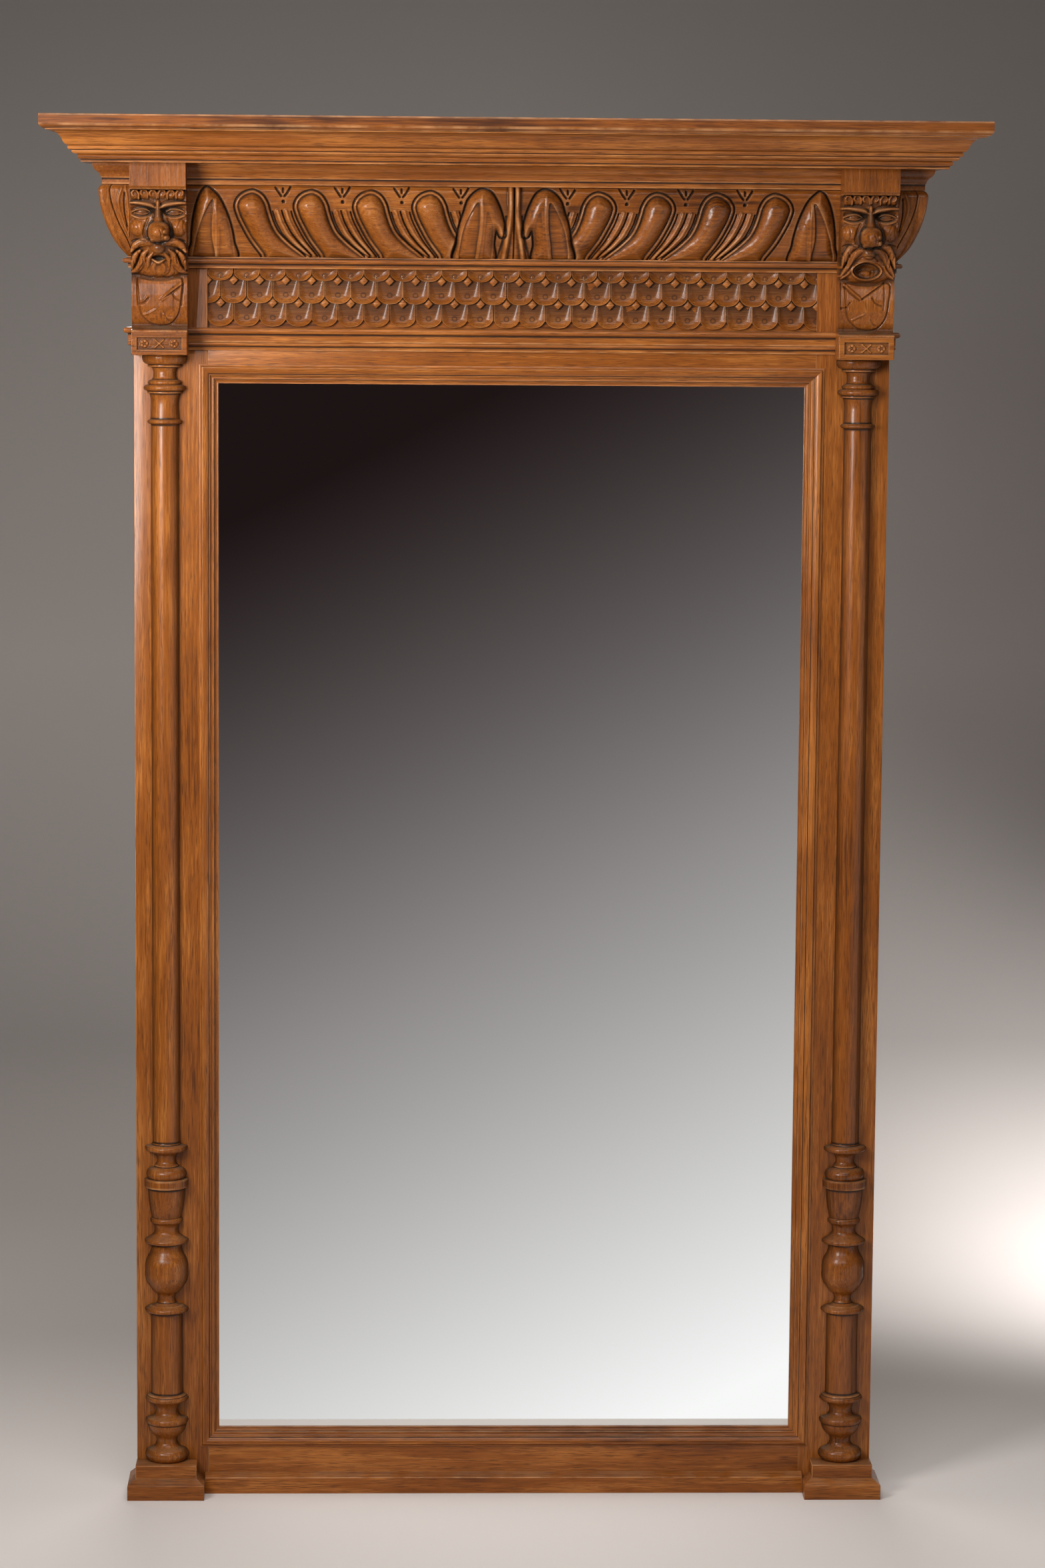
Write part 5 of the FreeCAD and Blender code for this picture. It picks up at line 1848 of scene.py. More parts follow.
@dataclass
class MaskConsole:
    """A console with a plain cap, a beast's mask and a leaf panel, over an impost block."""

    shop: Workshop
    datum: Datum
    side: Side
    mouth: Mouth
    width: float = 78.5
    nose_reach: float = 111.4
    nose_skin: float = 0.9
    relief: float = 0.8
    cap_low: float = 198.0
    columns: int = 160
    levels: int = 480
    impost_grid: Sequence[int] = (180, 76)
    impost_sink: float = 2.8
    rosette: float = 21.0
    head: Sequence[Dome] = (
        ((0, 152), (40, 52), 54, 27, 2.0, 2.5), ((0, 184), (36, 14), 66, 14, 2.6, 2.5),
        ((0, 104), (40, 27), 46, 17, 2.4, 2.5),
    )
    cheek: Dome = ((27, 147), (14.5, 14), 62, 20.5, 2.0, 4.0)
    eye: Dome = ((22.5, 168.4), (9.0, 3.8), 68, 7.0, 2.0, 0.8)
    bridge: Strand = Strand(((0, 182), (0, 171), (0.3, 160), (0.6, 148)), (3.4, 4.6, 6.0, 9.5), 75.0, 20.0)
    snout: Sequence[Dome] = (
        ((0, 118), (10, 8), 70, 12, 2.0, 4.0), ((1, 140.5), (15.2, 14.4), 80, 31.0, 2.6, 1.6),
    )
    snout_lines: Sequence[Stroke] = (
        (((-12.5, 146.5), (-7, 151.5), (1, 153.4), (9, 151.5), (13.5, 146)), 1.9, 2.4),
        (((-11, 143.5), (-5, 148), (1, 149.3), (7.5, 148), (11.5, 143)), 1.4, -1.6),
    )
    wings: Sequence[Dome] = (
        ((-5.6, 130), (5.6, 4.4), 84, 19, 2.0, 0.8), ((10.6, 140.5), (4.6, 5.2), 84, 27, 2.0, 0.8),
        ((11.6, 132.4), (5.0, 4.4), 84, 23, 2.0, 0.8),
    )
    wing_lines: Sequence[Stroke] = (
        (((4, 143), (5.8, 138), (5.4, 131)), 1.5, -2.4), (((7, 136.6), (11, 136.4), (15.5, 137)), 1.5, -2.4),
        (((-11, 133.5), (-6, 134.6), (-1, 132)), 1.5, -2.4),
    )
    nostrils: Sequence[Point] = ((-5.2, 126.6), (6.4, 126.4))
    nostril: Sequence[Point] = ((-3.2, 0.4), (0, 2.2), (3.2, 0.4), (0, -2.2))
    shut_lips: Sequence[Point] = (
        (-9.5, 103.5), (-4, 107.5), (4, 107.5), (9.5, 103.5), (4, 100.2), (-4, 100.2),
    )
    under_lip: Strand = Strand(((-8.5, 101.8), (0, 97.6), (8.5, 101.8)), (1.4, 2.8, 1.4), 62.0, 12.0)
    beard_cut: Stroke = (((17, 93), (14, 83), (5, 77.5)), 1.5, -2.6)
    chin: Dome = ((-2, 80), (25, 6.5), 43, 12, 2.0, 2.5)
    tongue: Dome = ((-4, 89), (11, 5.5), 42, 8, 2.0, 2.5)
    tongue_lines: Sequence[Stroke] = (
        (((4, 85), (5.5, 90), (6, 94)), 1.0, -1.8), (((8, 86), (10, 91), (10, 95)), 1.0, -1.8),
        (((11.5, 88), (13.5, 92), (13, 96)), 1.0, -1.8),
        (((-15, 108), (-9, 112.5), (-1, 113.6), (8, 112), (14, 107)), 1.4, -3.0),
    )
    curl_level: float = 192.4
    curl_widths: Sequence[float] = (1.8, 2.5, 2.6, 2.4, 2.0, 1.2)
    profile: Sequence[Point] = (
        (0, 57), (2.8, 57), (3.6, 50), (5.4, 43), (8.0, 39.5), (10.6, 38), (20, 42.5), (36, 46.8), (52, 47.5),
        (68, 45.5), (80.5, 42), (84, 47), (100, 55), (122, 64), (146, 70.5), (170, 73.5), (196.5, 75.5),
        (198.5, 77), (199.4, 89.5), (204, 94.6), (236, 95),
    )
    # Painted shade: soft dark patches over the eyes, under and beside the snout and under the brow curls, as
    # across, up, half width, half height and share
    patina: Sequence[Point] = (
        (0, 168, 44, 15, 0.6), (9, 117, 24, 14, 0.5), (-20, 128, 18, 6, 0.4), (0, 186, 44, 5, 0.4),
    )
    curls: Sequence[float] = (-32.0, -19.5, -7.0, 6.0, 18.5, 31.0)
    curl: Sequence[Point] = ((-5.2, -6), (-5.0, 1), (-0.8, 5.6), (3.8, 3.2), (3.2, -1.6), (0.2, -2.4))
    socket: Sequence[Point] = ((6, 171), (14, 175), (26, 176), (37, 175.5), (38, 166), (28, 161.5), (13, 162))
    eye_folds: Sequence[Strand] = (
        Strand(
            ((38.5, 180.6), (30, 180.6), (20, 179.4), (10, 177.4), (3, 173.6)), (1.8, 2.5, 3.0, 3.2, 2.0),
            78.0, 12.5,
        ),
        Strand(
            ((11, 168.4), (17, 171.6), (24, 172.2), (31, 170.8), (37, 168)), (0.9, 1.5, 1.7, 1.5, 0.9), 72.0,
            6.0,
        ),
        Strand(((12, 167), (18, 165), (25, 164.8), (33, 166.6)), (0.8, 1.3, 1.3, 0.8), 71.0, 5.0),
        Strand(((8, 164), (16, 160), (26, 159.2), (37, 163)), (1.4, 2.8, 3.0, 1.6), 70.0, 9.5),
    )
    wrinkles: Sequence[Stroke] = (
        (((36, 185), (24, 185.4), (12, 183.4), (4, 179)), 1.4, -2.0),
        (((31, 156), (27.5, 147), (28.5, 137)), 1.5, -1.5),
        (((14, 159), (18, 149), (20.5, 138), (18, 129.5)), 2.3, -3.0),
        (((37.5, 158), (35, 149), (37, 139)), 1.6, -1.6), (((3.6, 177), (6.4, 169), (6.6, 160)), 1.5, -1.8),
        (((7, 156), (11.5, 152), (14, 146)), 1.5, -1.4),
    )
    shut_locks: Sequence[Strand] = (
        Strand(((4, 122), (12, 125), (22, 126), (32, 121.5), (38, 113)), (2.8, 4.8, 6.0, 5.0, 2.2), 8.0, 9.0),
        Strand(((15, 115), (21, 108), (24, 97.5), (30, 88.5), (38, 84)), (2.2, 4.6, 5.2, 4.6, 2.0), 7.0, 8.5),
        Strand(((26, 114), (32.5, 107), (36, 97.5), (37.5, 89)), (2.4, 4.2, 4.0, 2.0), 6.5, 8.0),
        Strand(((8, 111), (14, 103), (16, 94), (21, 84)), (2.0, 3.8, 4.0, 1.6), 6.5, 8.0),
        Strand(((3, 98), (7.5, 90), (4.5, 79)), (2.8, 4.2, 1.8), 6.5, 8.0),
    )
    shut_lines: Sequence[Sequence[Point]] = (
        ((37, 127.5), (28, 130), (18, 128)), ((37, 117), (30, 116.5), (25.5, 121), (19, 122.5)),
        ((29, 112), (25, 106), (27, 97)), ((22, 105), (21.5, 96), (28, 87.5)),
        ((38, 103), (34, 96), (36, 88)), ((17.5, 101), (17.5, 91), (22, 83)),
    )
    open_locks: Sequence[Strand] = (
        Strand(((3, 121), (11, 121.5), (20, 116), (26, 107), (29, 97)), (2.6, 4.4, 5.4, 4.4, 2.0), 8.0, 9.0),
        Strand(((18, 128), (27, 124), (33.5, 112), (37.5, 98)), (3.0, 5.0, 4.4, 2.0), 7.0, 8.5),
        Strand(((27, 105), (32, 95), (38, 86)), (2.6, 3.8, 1.6), 5.0, 8.0),
        Strand(((22, 100), (27, 90.5), (37, 82.5)), (1.6, 3.2, 1.6), 4.0, 8.0),
    )
    open_lines: Sequence[Sequence[Point]] = (
        ((37, 128), (28, 130), (19, 127)), ((30, 119), (27, 110), (30, 99)),
        ((22, 118), (25, 110), (27, 101)), ((37, 117), (34, 107), (36, 97)),
    )
    gape: Sequence[Point] = (
        (-22, 93), (-19, 99), (-11, 104), (-2, 105.6), (8, 103.6), (15, 99), (18, 93), (14, 86.5), (6, 82.4),
        (-3, 81.4), (-12, 83), (-19, 87.5),
    )
    shield: Sequence[Point] = (
        (-29.5, 75.5), (-30, 58), (-29, 41.6), (-25, 24), (-12, 12), (2, 8.8), (17, 12.5), (27.5, 27),
        (31.5, 50), (32, 75.5), (10, 73.5), (-10, 73.5),
    )
    shut_panel: Sequence[Stroke] = (
        (((4, 46), (16, 57), (31, 68.5)), 3.4, 3.2), (((2, 45), (15, 53.5), (30, 64.5)), 1.3, -2.8),
        (((-28, 39.6), (-21, 41), (-15, 48)), 1.3, -2.6), (((-28, 43), (-22, 44.5), (-17, 50)), 2.2, 1.4),
        (((18.8, 54), (23.5, 47), (30, 44)), 1.3, -2.6), (((-30.5, 76), (-31, 55), (-30, 38)), 1.2, -2.0),
        (((32.5, 76), (32.5, 55), (31, 38)), 1.2, -2.0), (((-23, 24), (-14, 27), (-5, 32)), 2.2, 1.4),
        (((8, 23), (13, 16), (20, 13)), 1.2, -1.8), (((6, 25), (12, 20), (18, 19)), 2.0, 1.2),
        (((-24, 80), (-12, 77.5), (-2, 80)), 1.3, -2.0), (((4, 80), (12, 76.5), (22, 81.5)), 1.4, -2.4),
    )
    open_panel: Sequence[Stroke] = (
        (((-32, 74), (-20, 63), (-9, 54)), 2.8, 2.4), (((-33, 71), (-21, 60), (-10, 51.5)), 1.3, -2.6),
        (((-7, 53), (8, 64), (24, 75.5)), 1.5, -3.0), (((-6, 57), (8, 67), (22, 77)), 2.4, 1.4),
        (((-36, 40.5), (-29, 41.5), (-23.5, 48.5)), 1.3, -2.8),
        (((7.5, 55.5), (13, 47.5), (22, 43.5)), 1.3, -2.8),
        (((-36.4, 76), (-36.6, 55), (-36, 38)), 1.2, -2.2), (((24.6, 76), (25, 55), (24, 38)), 1.2, -2.2),
        (((-20, 24), (-12, 28), (-3, 32)), 2.2, 1.4), (((6, 24), (11, 17), (18, 14)), 1.2, -1.8),
    )

    def build(self) -> None:
        """Adds the console and its impost."""
        datum = self.datum
        height = datum.stile_top - datum.console_low
        half = self.width / 2
        middle = (datum.frame_half - half) * self.side.value
        carving = Carving(np.linspace(-half, half, self.columns), np.linspace(0, height, self.levels))
        carving.height = np.interp(carving.up, *np.array(self.profile).T)
        self._mask(carving)
        self._panel(carving)
        soft = blurred(carving.height, 1)
        carving.height = np.where(carving.up < self.cap_low, soft, carving.height)
        carving.roughen(seed=11 + self.side.value, size=2, rise=0.03)
        carving.height = np.minimum(carving.height, self.nose_reach)

        def place(made: Carving) -> np.ndarray:
            """The carved front in the row frame."""
            across, up = middle + made.across, datum.console_low + made.up
            return np.stack([across, datum.face - made.height, up], axis=-1)

        block = carving.solid(place, datum.to_face, dirt_and_shade_reach=4, dirt_and_shade_scale=2.8)
        # Painted shade over the mask, added to its dirt and painted shade
        patina = np.zeros_like(carving.height)
        for across, up, half_width, half_height, share in self.patina:
            u, v = (carving.across - across) / half_width, (carving.up - up) / half_height
            patina += share * bell(np.hypot(u, v))
        block.dirt[:patina.size] = np.clip(block.dirt[:patina.size] + patina.ravel(), 0, 1)
        self.shop.piece(f"console_{self.side.word}", block, Grain.ALONG_Z, crease=75)
        self._impost(middle, half)

    def _mask(self, carving: Carving) -> None:
        """Carves the beast's head into the console's body.

        Args:
            carving: The console's front.
        """
        body = carving.height.copy()
        for dome in self.head:
            carving.dome(*dome)
        for sign in (-1, 1):
            carving.sink(turned(self.socket, sign), floor=69.5, edge=(-1.5, 4.0), margin=3.0)
            for (across, up), *form in (self.cheek, self.eye):
                carving.dome((across * sign, up), *form)
            for fold in self.eye_folds:
                carving.lock(turned(fold.points, sign), fold.widths, fold.foot, fold.rise, blend=1.6)
            carving.strokes(self.wrinkles, sign)
        self._snout(carving)
        if self.mouth is Mouth.OPEN:
            self._locks(carving, body, self.open_locks, self.open_lines)
            self._open_mouth(carving)
        else:
            self._locks(carving, body, self.shut_locks, self.shut_lines)
            self._shut_mouth(carving)
        self._curls(carving)
        mask = self.relief * step(75, 81, carving.up) * (1 - step(198.2, 199.2, carving.up))
        mask = mask + (1 - self.relief) * bell((carving.up - 140) / 18) * bell(carving.across / 20)
        carving.height = body + (carving.height - body) * mask

    def _snout(self, carving: Carving) -> None:
        """Carves the bridge, the broad snout and its nostrils.

        Args:
            carving: The console's front.
        """
        carving.lock(self.bridge.points, self.bridge.widths, self.bridge.foot, self.bridge.rise)
        for dome in self.snout:
            carving.dome(*dome)
        carving.height = np.minimum(carving.height, self.nose_reach - self.nose_skin)
        carving.strokes(self.snout_lines)
        for dome in self.wings:
            carving.dome(*dome)
        for across, up in self.nostrils:
            carving.shape(
                [(across + u, up + v) for u, v in self.nostril],
                lambda depth, old: old - 8.0 * step(-0.8, 2.0, depth), 2.0)
        carving.strokes(self.wing_lines)

    @staticmethod
    def _locks(
        carving: Carving, body: np.ndarray, locks: Sequence[Strand], lines: Sequence[Sequence[Point]],
    ) -> None:
        """Carves moustache and beard.

        Args:
            carving: The console's front.
            body: Its heights without the mask.
            locks: The locks of one side.
            lines: The lines that are cut into them.
        """
        for sign in (-1, 1):
            for strand in locks:
                points, foot = turned(strand.points, sign), body + strand.foot
                carving.lock(points, strand.widths, foot, strand.rise, blend=2.6)
        for sign in (-1, 1):
            for line in lines:
                carving.stroke(turned(line, sign), width=1.4, rise=-3.0)

    def _shut_mouth(self, carving: Carving) -> None:
        """Carves a small shut mouth over the beard.

        Args:
            carving: The console's front.
        """
        lip = self.under_lip
        carving.sink(self.shut_lips, floor=54.0, edge=(-1.2, 2.4), margin=2.0)
        carving.lock(lip.points, lip.widths, lip.foot, lip.rise, blend=1.6)
        carving.stroke(*self.beard_cut)

    def _open_mouth(self, carving: Carving) -> None:
        """Carves a wide open mouth with its lips, its tongue and its chin.

        Args:
            carving: The console's front.
        """
        def throat(depth: np.ndarray, old: np.ndarray) -> np.ndarray:
            """The mouth's heights, deepest in its middle."""
            return old + (50.0 - 6.0 * step(2, 9, depth) - old) * step(-0.6, 1.6, depth)

        carving.dome(*self.chin)
        lips = [*self.gape, self.gape[0]]
        carving.lock(lips, [2.4] * len(lips), base=58.0, rise=9.0, blend=0.8)
        carving.shape(self.gape, throat, 2.0)
        carving.dome(*self.tongue)
        carving.strokes(self.tongue_lines)

    def _curls(self, carving: Carving) -> None:
        """Carves the row of curls over the brow.

        Args:
            carving: The console's front.
        """
        for number, across in enumerate(self.curls):
            carving.dome((across, 192.6), (7.0, 8.4), base=70, rise=13, power=2.6, blend=2.4)
            way = -1 if across < 0 else 1
            swirl = [(across + way * u, self.curl_level + v + number % 2) for u, v in self.curl]
            carving.lock(swirl, self.curl_widths, base=77.0, rise=10.5)

    def _panel(self, carving: Carving) -> None:
        """Carves the leaf panel under the mask.

        Args:
            carving: The console's front.
        """
        def raised(depth: np.ndarray, old: np.ndarray) -> np.ndarray:
            """Lifts the shield and cuts a line round it."""
            return old + 2.2 * step(0.3, 2.2, depth) - 1.6 * bell(depth / 1.3)

        carving.shape(self.shield, raised, 2.0)
        carving.strokes(self.open_panel if self.mouth is Mouth.OPEN else self.shut_panel)

    def _impost(self, middle: float, half: float) -> None:
        """Adds the block under the console, with two rosettes and a cross in a sunk panel.

        Args:
            middle: The console's middle across.
            half: Half of its width.
        """
        datum, node = self.datum, f"impost_{self.side.word}"
        height = datum.console_low - datum.impost_low
        reach = datum.face - span(node, Axis.Y)[0]
        waist = height / 2
        columns, levels = self.impost_grid
        carving = Carving(np.linspace(-half, half, columns), np.linspace(0, height, levels))
        inward, inner = half - np.abs(carving.across), waist - np.abs(carving.up - waist)
        carving.height -= self.impost_sink * step(-0.5, 0.5, np.minimum(inward - 8.0, inner - 7.5))
        carving.height -= 0.5 * np.clip(1 - np.minimum(inward, inner) / 0.8, 0, 1) ** 2
        for across in (-self.rosette, self.rosette):
            away = np.hypot(carving.across - across, carving.up - waist)
            angle = np.arctan2(carving.up - waist, carving.across - across)
            petals = 0.35 + 0.65 * np.abs(np.cos(angle * 2.5))
            ring = 2.3 * step(6.4, 4.6, away) * petals * step(1.2, 2.6, away)
            carving.height += ring + 1.8 * bell(away / 1.9)
        for slope in (-1, 1):
            arm = [(-6, waist - 5.2 * slope), (0, waist), (6, waist + 5.2 * slope)]
            carving.stroke(arm, width=1.9, rise=1.9)
        carving.stroke([(-13, waist), (13, waist)], width=1.0, rise=0.9)
        carving.roughen(seed=23 + self.side.value, size=2, rise=0.06)
        carving.height = np.minimum(carving.height, 0.0)

        def place(made: Carving) -> np.ndarray:
            """The carved front in the row frame."""
            across, up = middle + made.across, datum.impost_low + made.up
            return np.stack([across, datum.face - reach - made.height, up], axis=-1)

        block = carving.solid(place, datum.to_face, dirt_and_shade_reach=4, dirt_and_shade_scale=1.6)
        self.shop.piece(node, block, Grain.ALONG_X, crease=60)


@dataclass
class HalfColumn:
    """A turned column, split down its middle and set against a stile."""

    shop: Workshop
    datum: Datum
    side: Side
    radius: float = 33.0
    core: float = 6.0
    softness: float = 0.5
    # How much dirt and painted shade the column takes at its back edges
    seam: float = 0.8
    segments: int = 72
    turning: Sequence[Point] = (
        (0.80, 0.0), (0.80, 0.0116, 0.6), (0.66, 0.0126), (0.52, 0.0148, -0.2), (0.46, 0.0190, -0.2),
        (0.56, 0.0232, -0.2), (0.87, 0.0343, 0.25), (0.87, 0.0402, 0.6), (0.66, 0.0412), (0.50, 0.0470, -0.3),
        (0.80, 0.0553, -0.3), (0.88, 0.0556), (0.88, 0.0600, 0.7), (0.86, 0.0612), (0.71, 0.0624),
        (0.70, 0.1372), (0.92, 0.1384), (0.92, 0.1422, 0.5), (0.72, 0.1446), (0.44, 0.1464, -0.2),
        (0.38, 0.1512, -0.2), (0.48, 0.1556, -0.2), (0.72, 0.1606, 0.2), (0.95, 0.1764, 0.25),
        (0.76, 0.1916, 0.2), (0.65, 0.2004, -0.1), (0.93, 0.2020), (0.93, 0.2054, 0.5), (0.70, 0.2082),
        (0.58, 0.2102), (0.53, 0.2145, -0.2), (0.60, 0.2192, -0.2), (0.64, 0.2198), (0.64, 0.2250, 0.7),
        (0.66, 0.2256), (0.82, 0.2518, 0.06), (0.97, 0.2532), (0.97, 0.2606), (0.82, 0.2612),
        (0.62, 0.2712, 0.6), (0.54, 0.2716), (0.54, 0.2730), (0.42, 0.2766, -0.2), (0.60, 0.2856, -0.3),
        (0.84, 0.2862), (0.84, 0.2914, 0.8), (0.66, 0.2922), (0.61, 0.2940), (0.60, 0.9384), (0.70, 0.9394),
        (0.70, 0.9422, 0.8), (0.62, 0.9432), (0.60, 0.9520), (0.66, 0.9656, -0.1), (0.76, 0.9660),
        (0.76, 0.9678), (0.82, 0.9682), (0.82, 0.9728, 0.8), (0.68, 0.9736), (0.68, 0.9768, 0.6),
        (0.54, 0.9782), (0.50, 0.9826, -0.2), (0.56, 0.9884, -0.2), (0.73, 0.9890), (0.73, 0.9912),
        (0.80, 0.9914), (0.98, 0.9966, 0.3), (0.92, 0.9992, 0.35), (0.92, 1.0),
    )

    def build(self) -> None:
        """Adds the column."""
        datum = self.datum
        height = datum.impost_low - datum.die_top
        corners = [(share[0] * self.radius, share[1] * height, *share[2:]) for share in self.turning]
        worked = Outline.worked([(0.0, 0.0), *corners, (0.0, height)], self.softness)
        keep = worked.points[:, 0] > self.core
        line, dirt, wear = worked.points[keep], worked.dirt[keep], worked.wear[keep]
        angles = np.linspace(math.pi, 2 * math.pi, self.segments + 1)
        rings = []
        for angle in angles:
            x, y = line[:, 0] * math.cos(angle), line[:, 0] * math.sin(angle)
            rings.append(np.stack([x, y, line[:, 1]], axis=1))
        foot = np.array([datum.column_axis * self.side.value, datum.face, datum.die_top])
        count, times = len(line), len(angles)
        last = self.segments * count
        row = np.arange(count - 1)
        flat = np.stack([row, row + 1, last + row + 1, last + row], axis=1)
        faces = np.concatenate([grid_quads(times, count), flat])
        spokes = np.arange(times) * count
        ends = [list(spokes[::-1]), list(spokes + count - 1)]
        # Dirt and painted shade darken the column towards its back edges, where it meets the stile; the wear
        # fades there.
        seam = np.repeat(self.seam * np.abs(np.cos(angles)) ** 6, count)
        soiled_and_shaded = np.clip(np.tile(dirt, times) + seam, 0, 1)
        rubbed = np.tile(wear, times) * (1 - seam)
        column = Surface(np.concatenate(rings) + foot, faces, ends, soiled_and_shaded, rubbed)
        self.shop.piece(f"column_{self.side.word}", column, Grain.ALONG_Z)


@dataclass
class Cornice:
    """Base board, crown moulding and top board."""

    shop: Workshop
    datum: Datum
    crown: Sequence[Point] = (
        (0.0, 0.0), (0.14, 0.10, 0.3), (0.14, 0.17), (0.22, 0.17), (0.22, 0.34, 0.75), (0.31, 0.36),
        (0.44, 0.54, 0.2), (0.90, 0.95, -0.28), (1.0, 0.95), (1.0, 1.0),
    )
    crown_foot: float = 24.0
    edge_depth: float = 60.0
    top_bevel: float = 5.0
    base_step: float = 4.0
    fillet_share: float = 0.38
    bead_bulge: float = 0.55
    board_softness: float = 0.8
    crown_softness: float = 0.6

    def build(self) -> None:
        """Adds the pieces."""
        low, high = span("cornice_base_board", Axis.Z)
        fillet = (high - low) * self.fillet_share
        step_in, bead = -self.base_step, -self.base_step / 2
        base = [(step_in, 0), (step_in, fillet), (bead, fillet), (bead, high - low, self.bead_bulge)]
        self._board("cornice_base_board", base)
        low, high = span("cornice_top_board", Axis.Z)
        self._board("cornice_top_board", [(-self.top_bevel, 0), (0, self.top_bevel), (0, high - low)])
        self._crown()

    def _board(self, node: str, edge: Sequence[Point]) -> None:
        """Adds a board with a worked edge round its front and its sides.

        Args:
            node: The CAD node.
            edge: The edge's corners, out from the board and up from its foot.
        """
        (left, right), (front, back), (low, high) = (span(node, axis) for axis in Axis)
        height, inner = high - low, self.edge_depth
        outline = Outline.worked([(-inner, 0), *edge, (-inner, height)], self.board_softness)
        stations = [
            Station((left, back, low), (-1, 0, 0)), Station((left, front, low), (-1, -1, 0)),
            Station((right, front, low), (1, -1, 0)), Station((right, back, low), (1, 0, 0)),
        ]
        middle = box_surface((left + inner, front + inner, low), (right - inner, back, high))
        self.shop.piece(node, sweep(outline, stations).joined(middle), Grain.ALONG_X)

    def _crown(self) -> None:
        """Adds the crown moulding's front and its two returns."""
        (left, right), (front, seat), (low, high) = (span("crown_front", axis) for axis in Axis)
        foot, height, back = -self.crown_foot, high - low, self.datum.back
        reach = seat - front - self.crown_foot
        corners = [(share[0] * reach, share[1] * height, *share[2:]) for share in self.crown]
        outline = Outline.worked([(foot, 0), *corners, (foot, height)], self.crown_softness)
        left, right, front = left + reach, right - reach, front + reach
        run = [Station((left, front, low), (-1, -1, 0)), Station((right, front, low), (1, -1, 0))]
        self.shop.piece("crown_front", sweep(outline, run), Grain.ALONG_X)
        for side, edge in ((Side.LEFT, left), (Side.RIGHT, right)):
            run = [
                Station((edge, front, low), (side.value, -1, 0)),
                Station((edge, back, low), (side.value, 0, 0)),
            ]
            self.shop.piece(f"crown_return_{side.word}", sweep(outline, run), Grain.ALONG_Y)


@dataclass(frozen=True)
class Softbox:
    """A soft studio light."""

    name: str
    place: Point
    aim: Point
    size: tuple[float, float]
    power: float
    spread: float = 180.0
    colour: Colour = (1.0, 1.0, 1.0)

    def add(self) -> None:
        """Adds the light to the scene."""
        lamp = bpy.data.lights.new(self.name, "AREA")
        lamp.shape = "RECTANGLE"
        lamp.size, lamp.size_y = self.size
        lamp.energy = self.power
        lamp.spread = math.radians(self.spread)
        lamp.color = self.colour
        holder = bpy.data.objects.new(self.name, lamp)
        holder.location = self.place
        ahead = Vector(self.aim) - Vector(self.place)
        holder.rotation_euler = ahead.to_track_quat("-Z", "Y").to_euler()
        bpy.context.scene.collection.objects.link(holder)


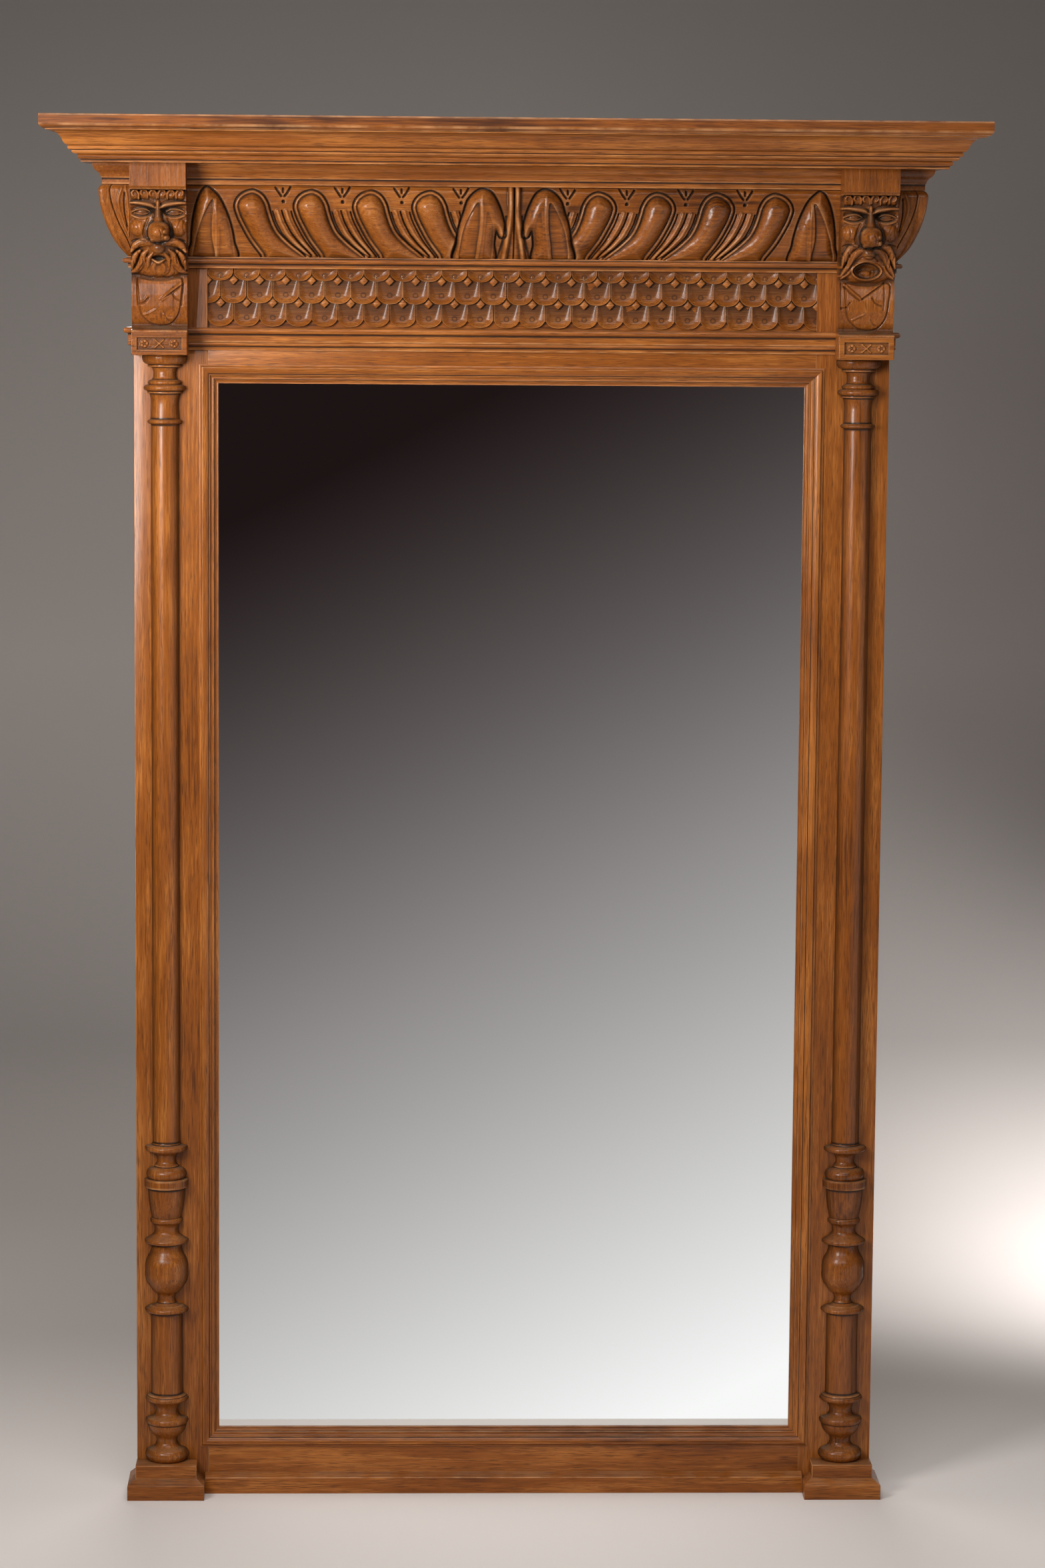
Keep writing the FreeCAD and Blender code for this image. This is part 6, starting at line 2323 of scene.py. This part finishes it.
@dataclass
class Studio:
    """The pale floor and backdrop, the lights and the camera at the photograph's place."""

    lights: Sequence[Softbox] = (
        Softbox("key", (-1.45, -1.75, 1.85), (-0.30, 0.0, 1.70), (0.8, 0.9), 24.0, 110.0, (1.0, 0.97, 0.94)),
        Softbox("fill", (-0.2, -4.4, 3.0), (0.0, 0.0, 1.5), (3.0, 1.0), 21.0, 130.0, (1.0, 0.98, 0.96)),
        Softbox("overhead", (0.1, -1.6, 3.2), (0.1, -1.0, 0.0), (2.0, 0.8), 14.0, 120.0, (1.0, 0.98, 0.96)),
        Softbox("backlight", (2.2, 0.3, 0.7), (1.2, 1.40, 0.06), (0.4, 0.4), 8.5, 54.0, (1.0, 0.98, 0.97)),
        Softbox("rear", (-0.1, 2.0, 2.4), (0.0, 0.1, 1.2), (1.2, 0.6), 7.0, 70.0, (1.0, 0.98, 0.96)),
    )
    # The greys by height stand in for the studio's fall of light: the backdrop is painted pale at the floor,
    # darker low on the bend and darker towards the top, and the front paper darker upwards; painted light and
    # shade.
    rear_greys: Sequence[Point] = (
        (0.0, 0.80), (0.10, 0.60), (0.32, 0.40), (1.0, 0.50), (2.6, 0.21), (6.0, 0.17),
    )
    front_greys: Sequence[Point] = ((0.0, 0.80), (0.12, 0.62), (0.35, 0.36), (6.0, 0.28))
    camera_place: Point = (-0.18591, -6.11154, 1.82901)
    yaw: float = 0.03315
    pitch: float = -0.12499
    roll: float = 0.00800
    lens: float = 98.99
    half_width: float = 30.0
    top: float = 6.0
    # Where each paper's bend starts and how far it reaches, signed
    rear_bend: Point = (1.0, 1.6)
    front_bend: Point = (-8.2, -0.4)
    join: float = -0.30
    ambient: float = 0.135
    sky: Colour = (1.0, 0.98, 0.96)
    clip_end: float = 60.0
    sensor: float = 36.0

    def build(self) -> None:
        """Adds the stage, the lights, the world and the camera."""
        self._backdrop()
        for light in self.lights:
            light.add()
        world = bpy.data.worlds.new("studio")
        world.use_nodes = True
        background = world.node_tree.nodes["Background"]
        background.inputs["Color"].default_value = (*self.sky, 1.0)
        background.inputs["Strength"].default_value = self.ambient
        scene = bpy.context.scene
        scene.world = world
        scene.view_settings.view_transform = "Standard"
        self._camera()

    def _backdrop(self) -> None:
        """Adds the paper behind the mirror and the paper before it, which the glass sees glowing with a
        painted reflection.
        """
        sheets = {
            "backdrop": (self.rear_bend, 1, StageFinish("backdrop paper", self.rear_greys)),
            "studio_front": (
                self.front_bend, -1, StageFinish("front paper", self.front_greys, Gradient())),
        }
        for name, ((start, reach), way, finish) in sheets.items():
            line = [(self.join, 0.0)]
            for angle in np.linspace(0, math.pi / 2, 25):
                line.append((start + reach * math.sin(angle), abs(reach) - abs(reach) * math.cos(angle)))
            line.append((start + reach, self.top))
            points = [(x * way, y, z) for y, z in line for x in (-self.half_width, self.half_width)]
            faces = [(2 * i, 2 * i + 1, 2 * i + 3, 2 * i + 2) for i in range(len(line) - 1)]
            mesh = bpy.data.meshes.new(name)
            mesh.from_pydata(points, [], faces)
            mesh.materials.append(finish.material())
            mesh.shade_smooth()
            sheet = bpy.data.objects.new(name, mesh)
            bpy.context.scene.collection.objects.link(sheet)

    def _camera(self) -> None:
        """Adds the camera, turned by its yaw, pitch and roll."""
        sy, cy = math.sin(self.yaw), math.cos(self.yaw)
        sp, cp = math.sin(self.pitch), math.cos(self.pitch)
        ahead = Vector((sy * cp, cy * cp, sp))
        right, up = Vector((cy, -sy, 0)), Vector((-sy * sp, -cy * sp, cp))
        across = right * math.cos(self.roll) + up * math.sin(self.roll)
        upward = up * math.cos(self.roll) - right * math.sin(self.roll)
        camera = bpy.data.cameras.new("camera")
        camera.sensor_fit = "VERTICAL"
        camera.sensor_height = self.sensor
        camera.lens = self.lens
        camera.clip_end = self.clip_end
        holder = bpy.data.objects.new("camera", camera)
        turn = Matrix((across, upward, -ahead)).transposed().to_4x4()
        holder.matrix_world = Matrix.Translation(self.camera_place) @ turn
        bpy.context.scene.collection.objects.link(holder)
        bpy.context.scene.camera = holder


def main() -> None:
    """Builds the visual model and its studio."""
    logging.basicConfig(level=logging.INFO, format="%(name)s: %(message)s")
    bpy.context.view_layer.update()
    datum = Datum.from_frame()
    shop = Workshop(Palette())
    rows = RowOfCopies()
    parts = [
        JoinedFrame(shop), SightFrame(shop, datum), Glazing(shop, datum, rows), HeadMouldings(shop, datum),
        GadroonFrieze(shop, datum), ScalePanel(shop, datum, rows), Cornice(shop, datum),
        MaskConsole(shop, datum, Side.LEFT, Mouth.SHUT), MaskConsole(shop, datum, Side.RIGHT, Mouth.OPEN),
        HalfColumn(shop, datum, Side.LEFT), HalfColumn(shop, datum, Side.RIGHT), Studio(),
    ]
    for part in parts:
        part.build()
        log.info("%s built", type(part).__name__)


if __name__ == "__main__":
    main()
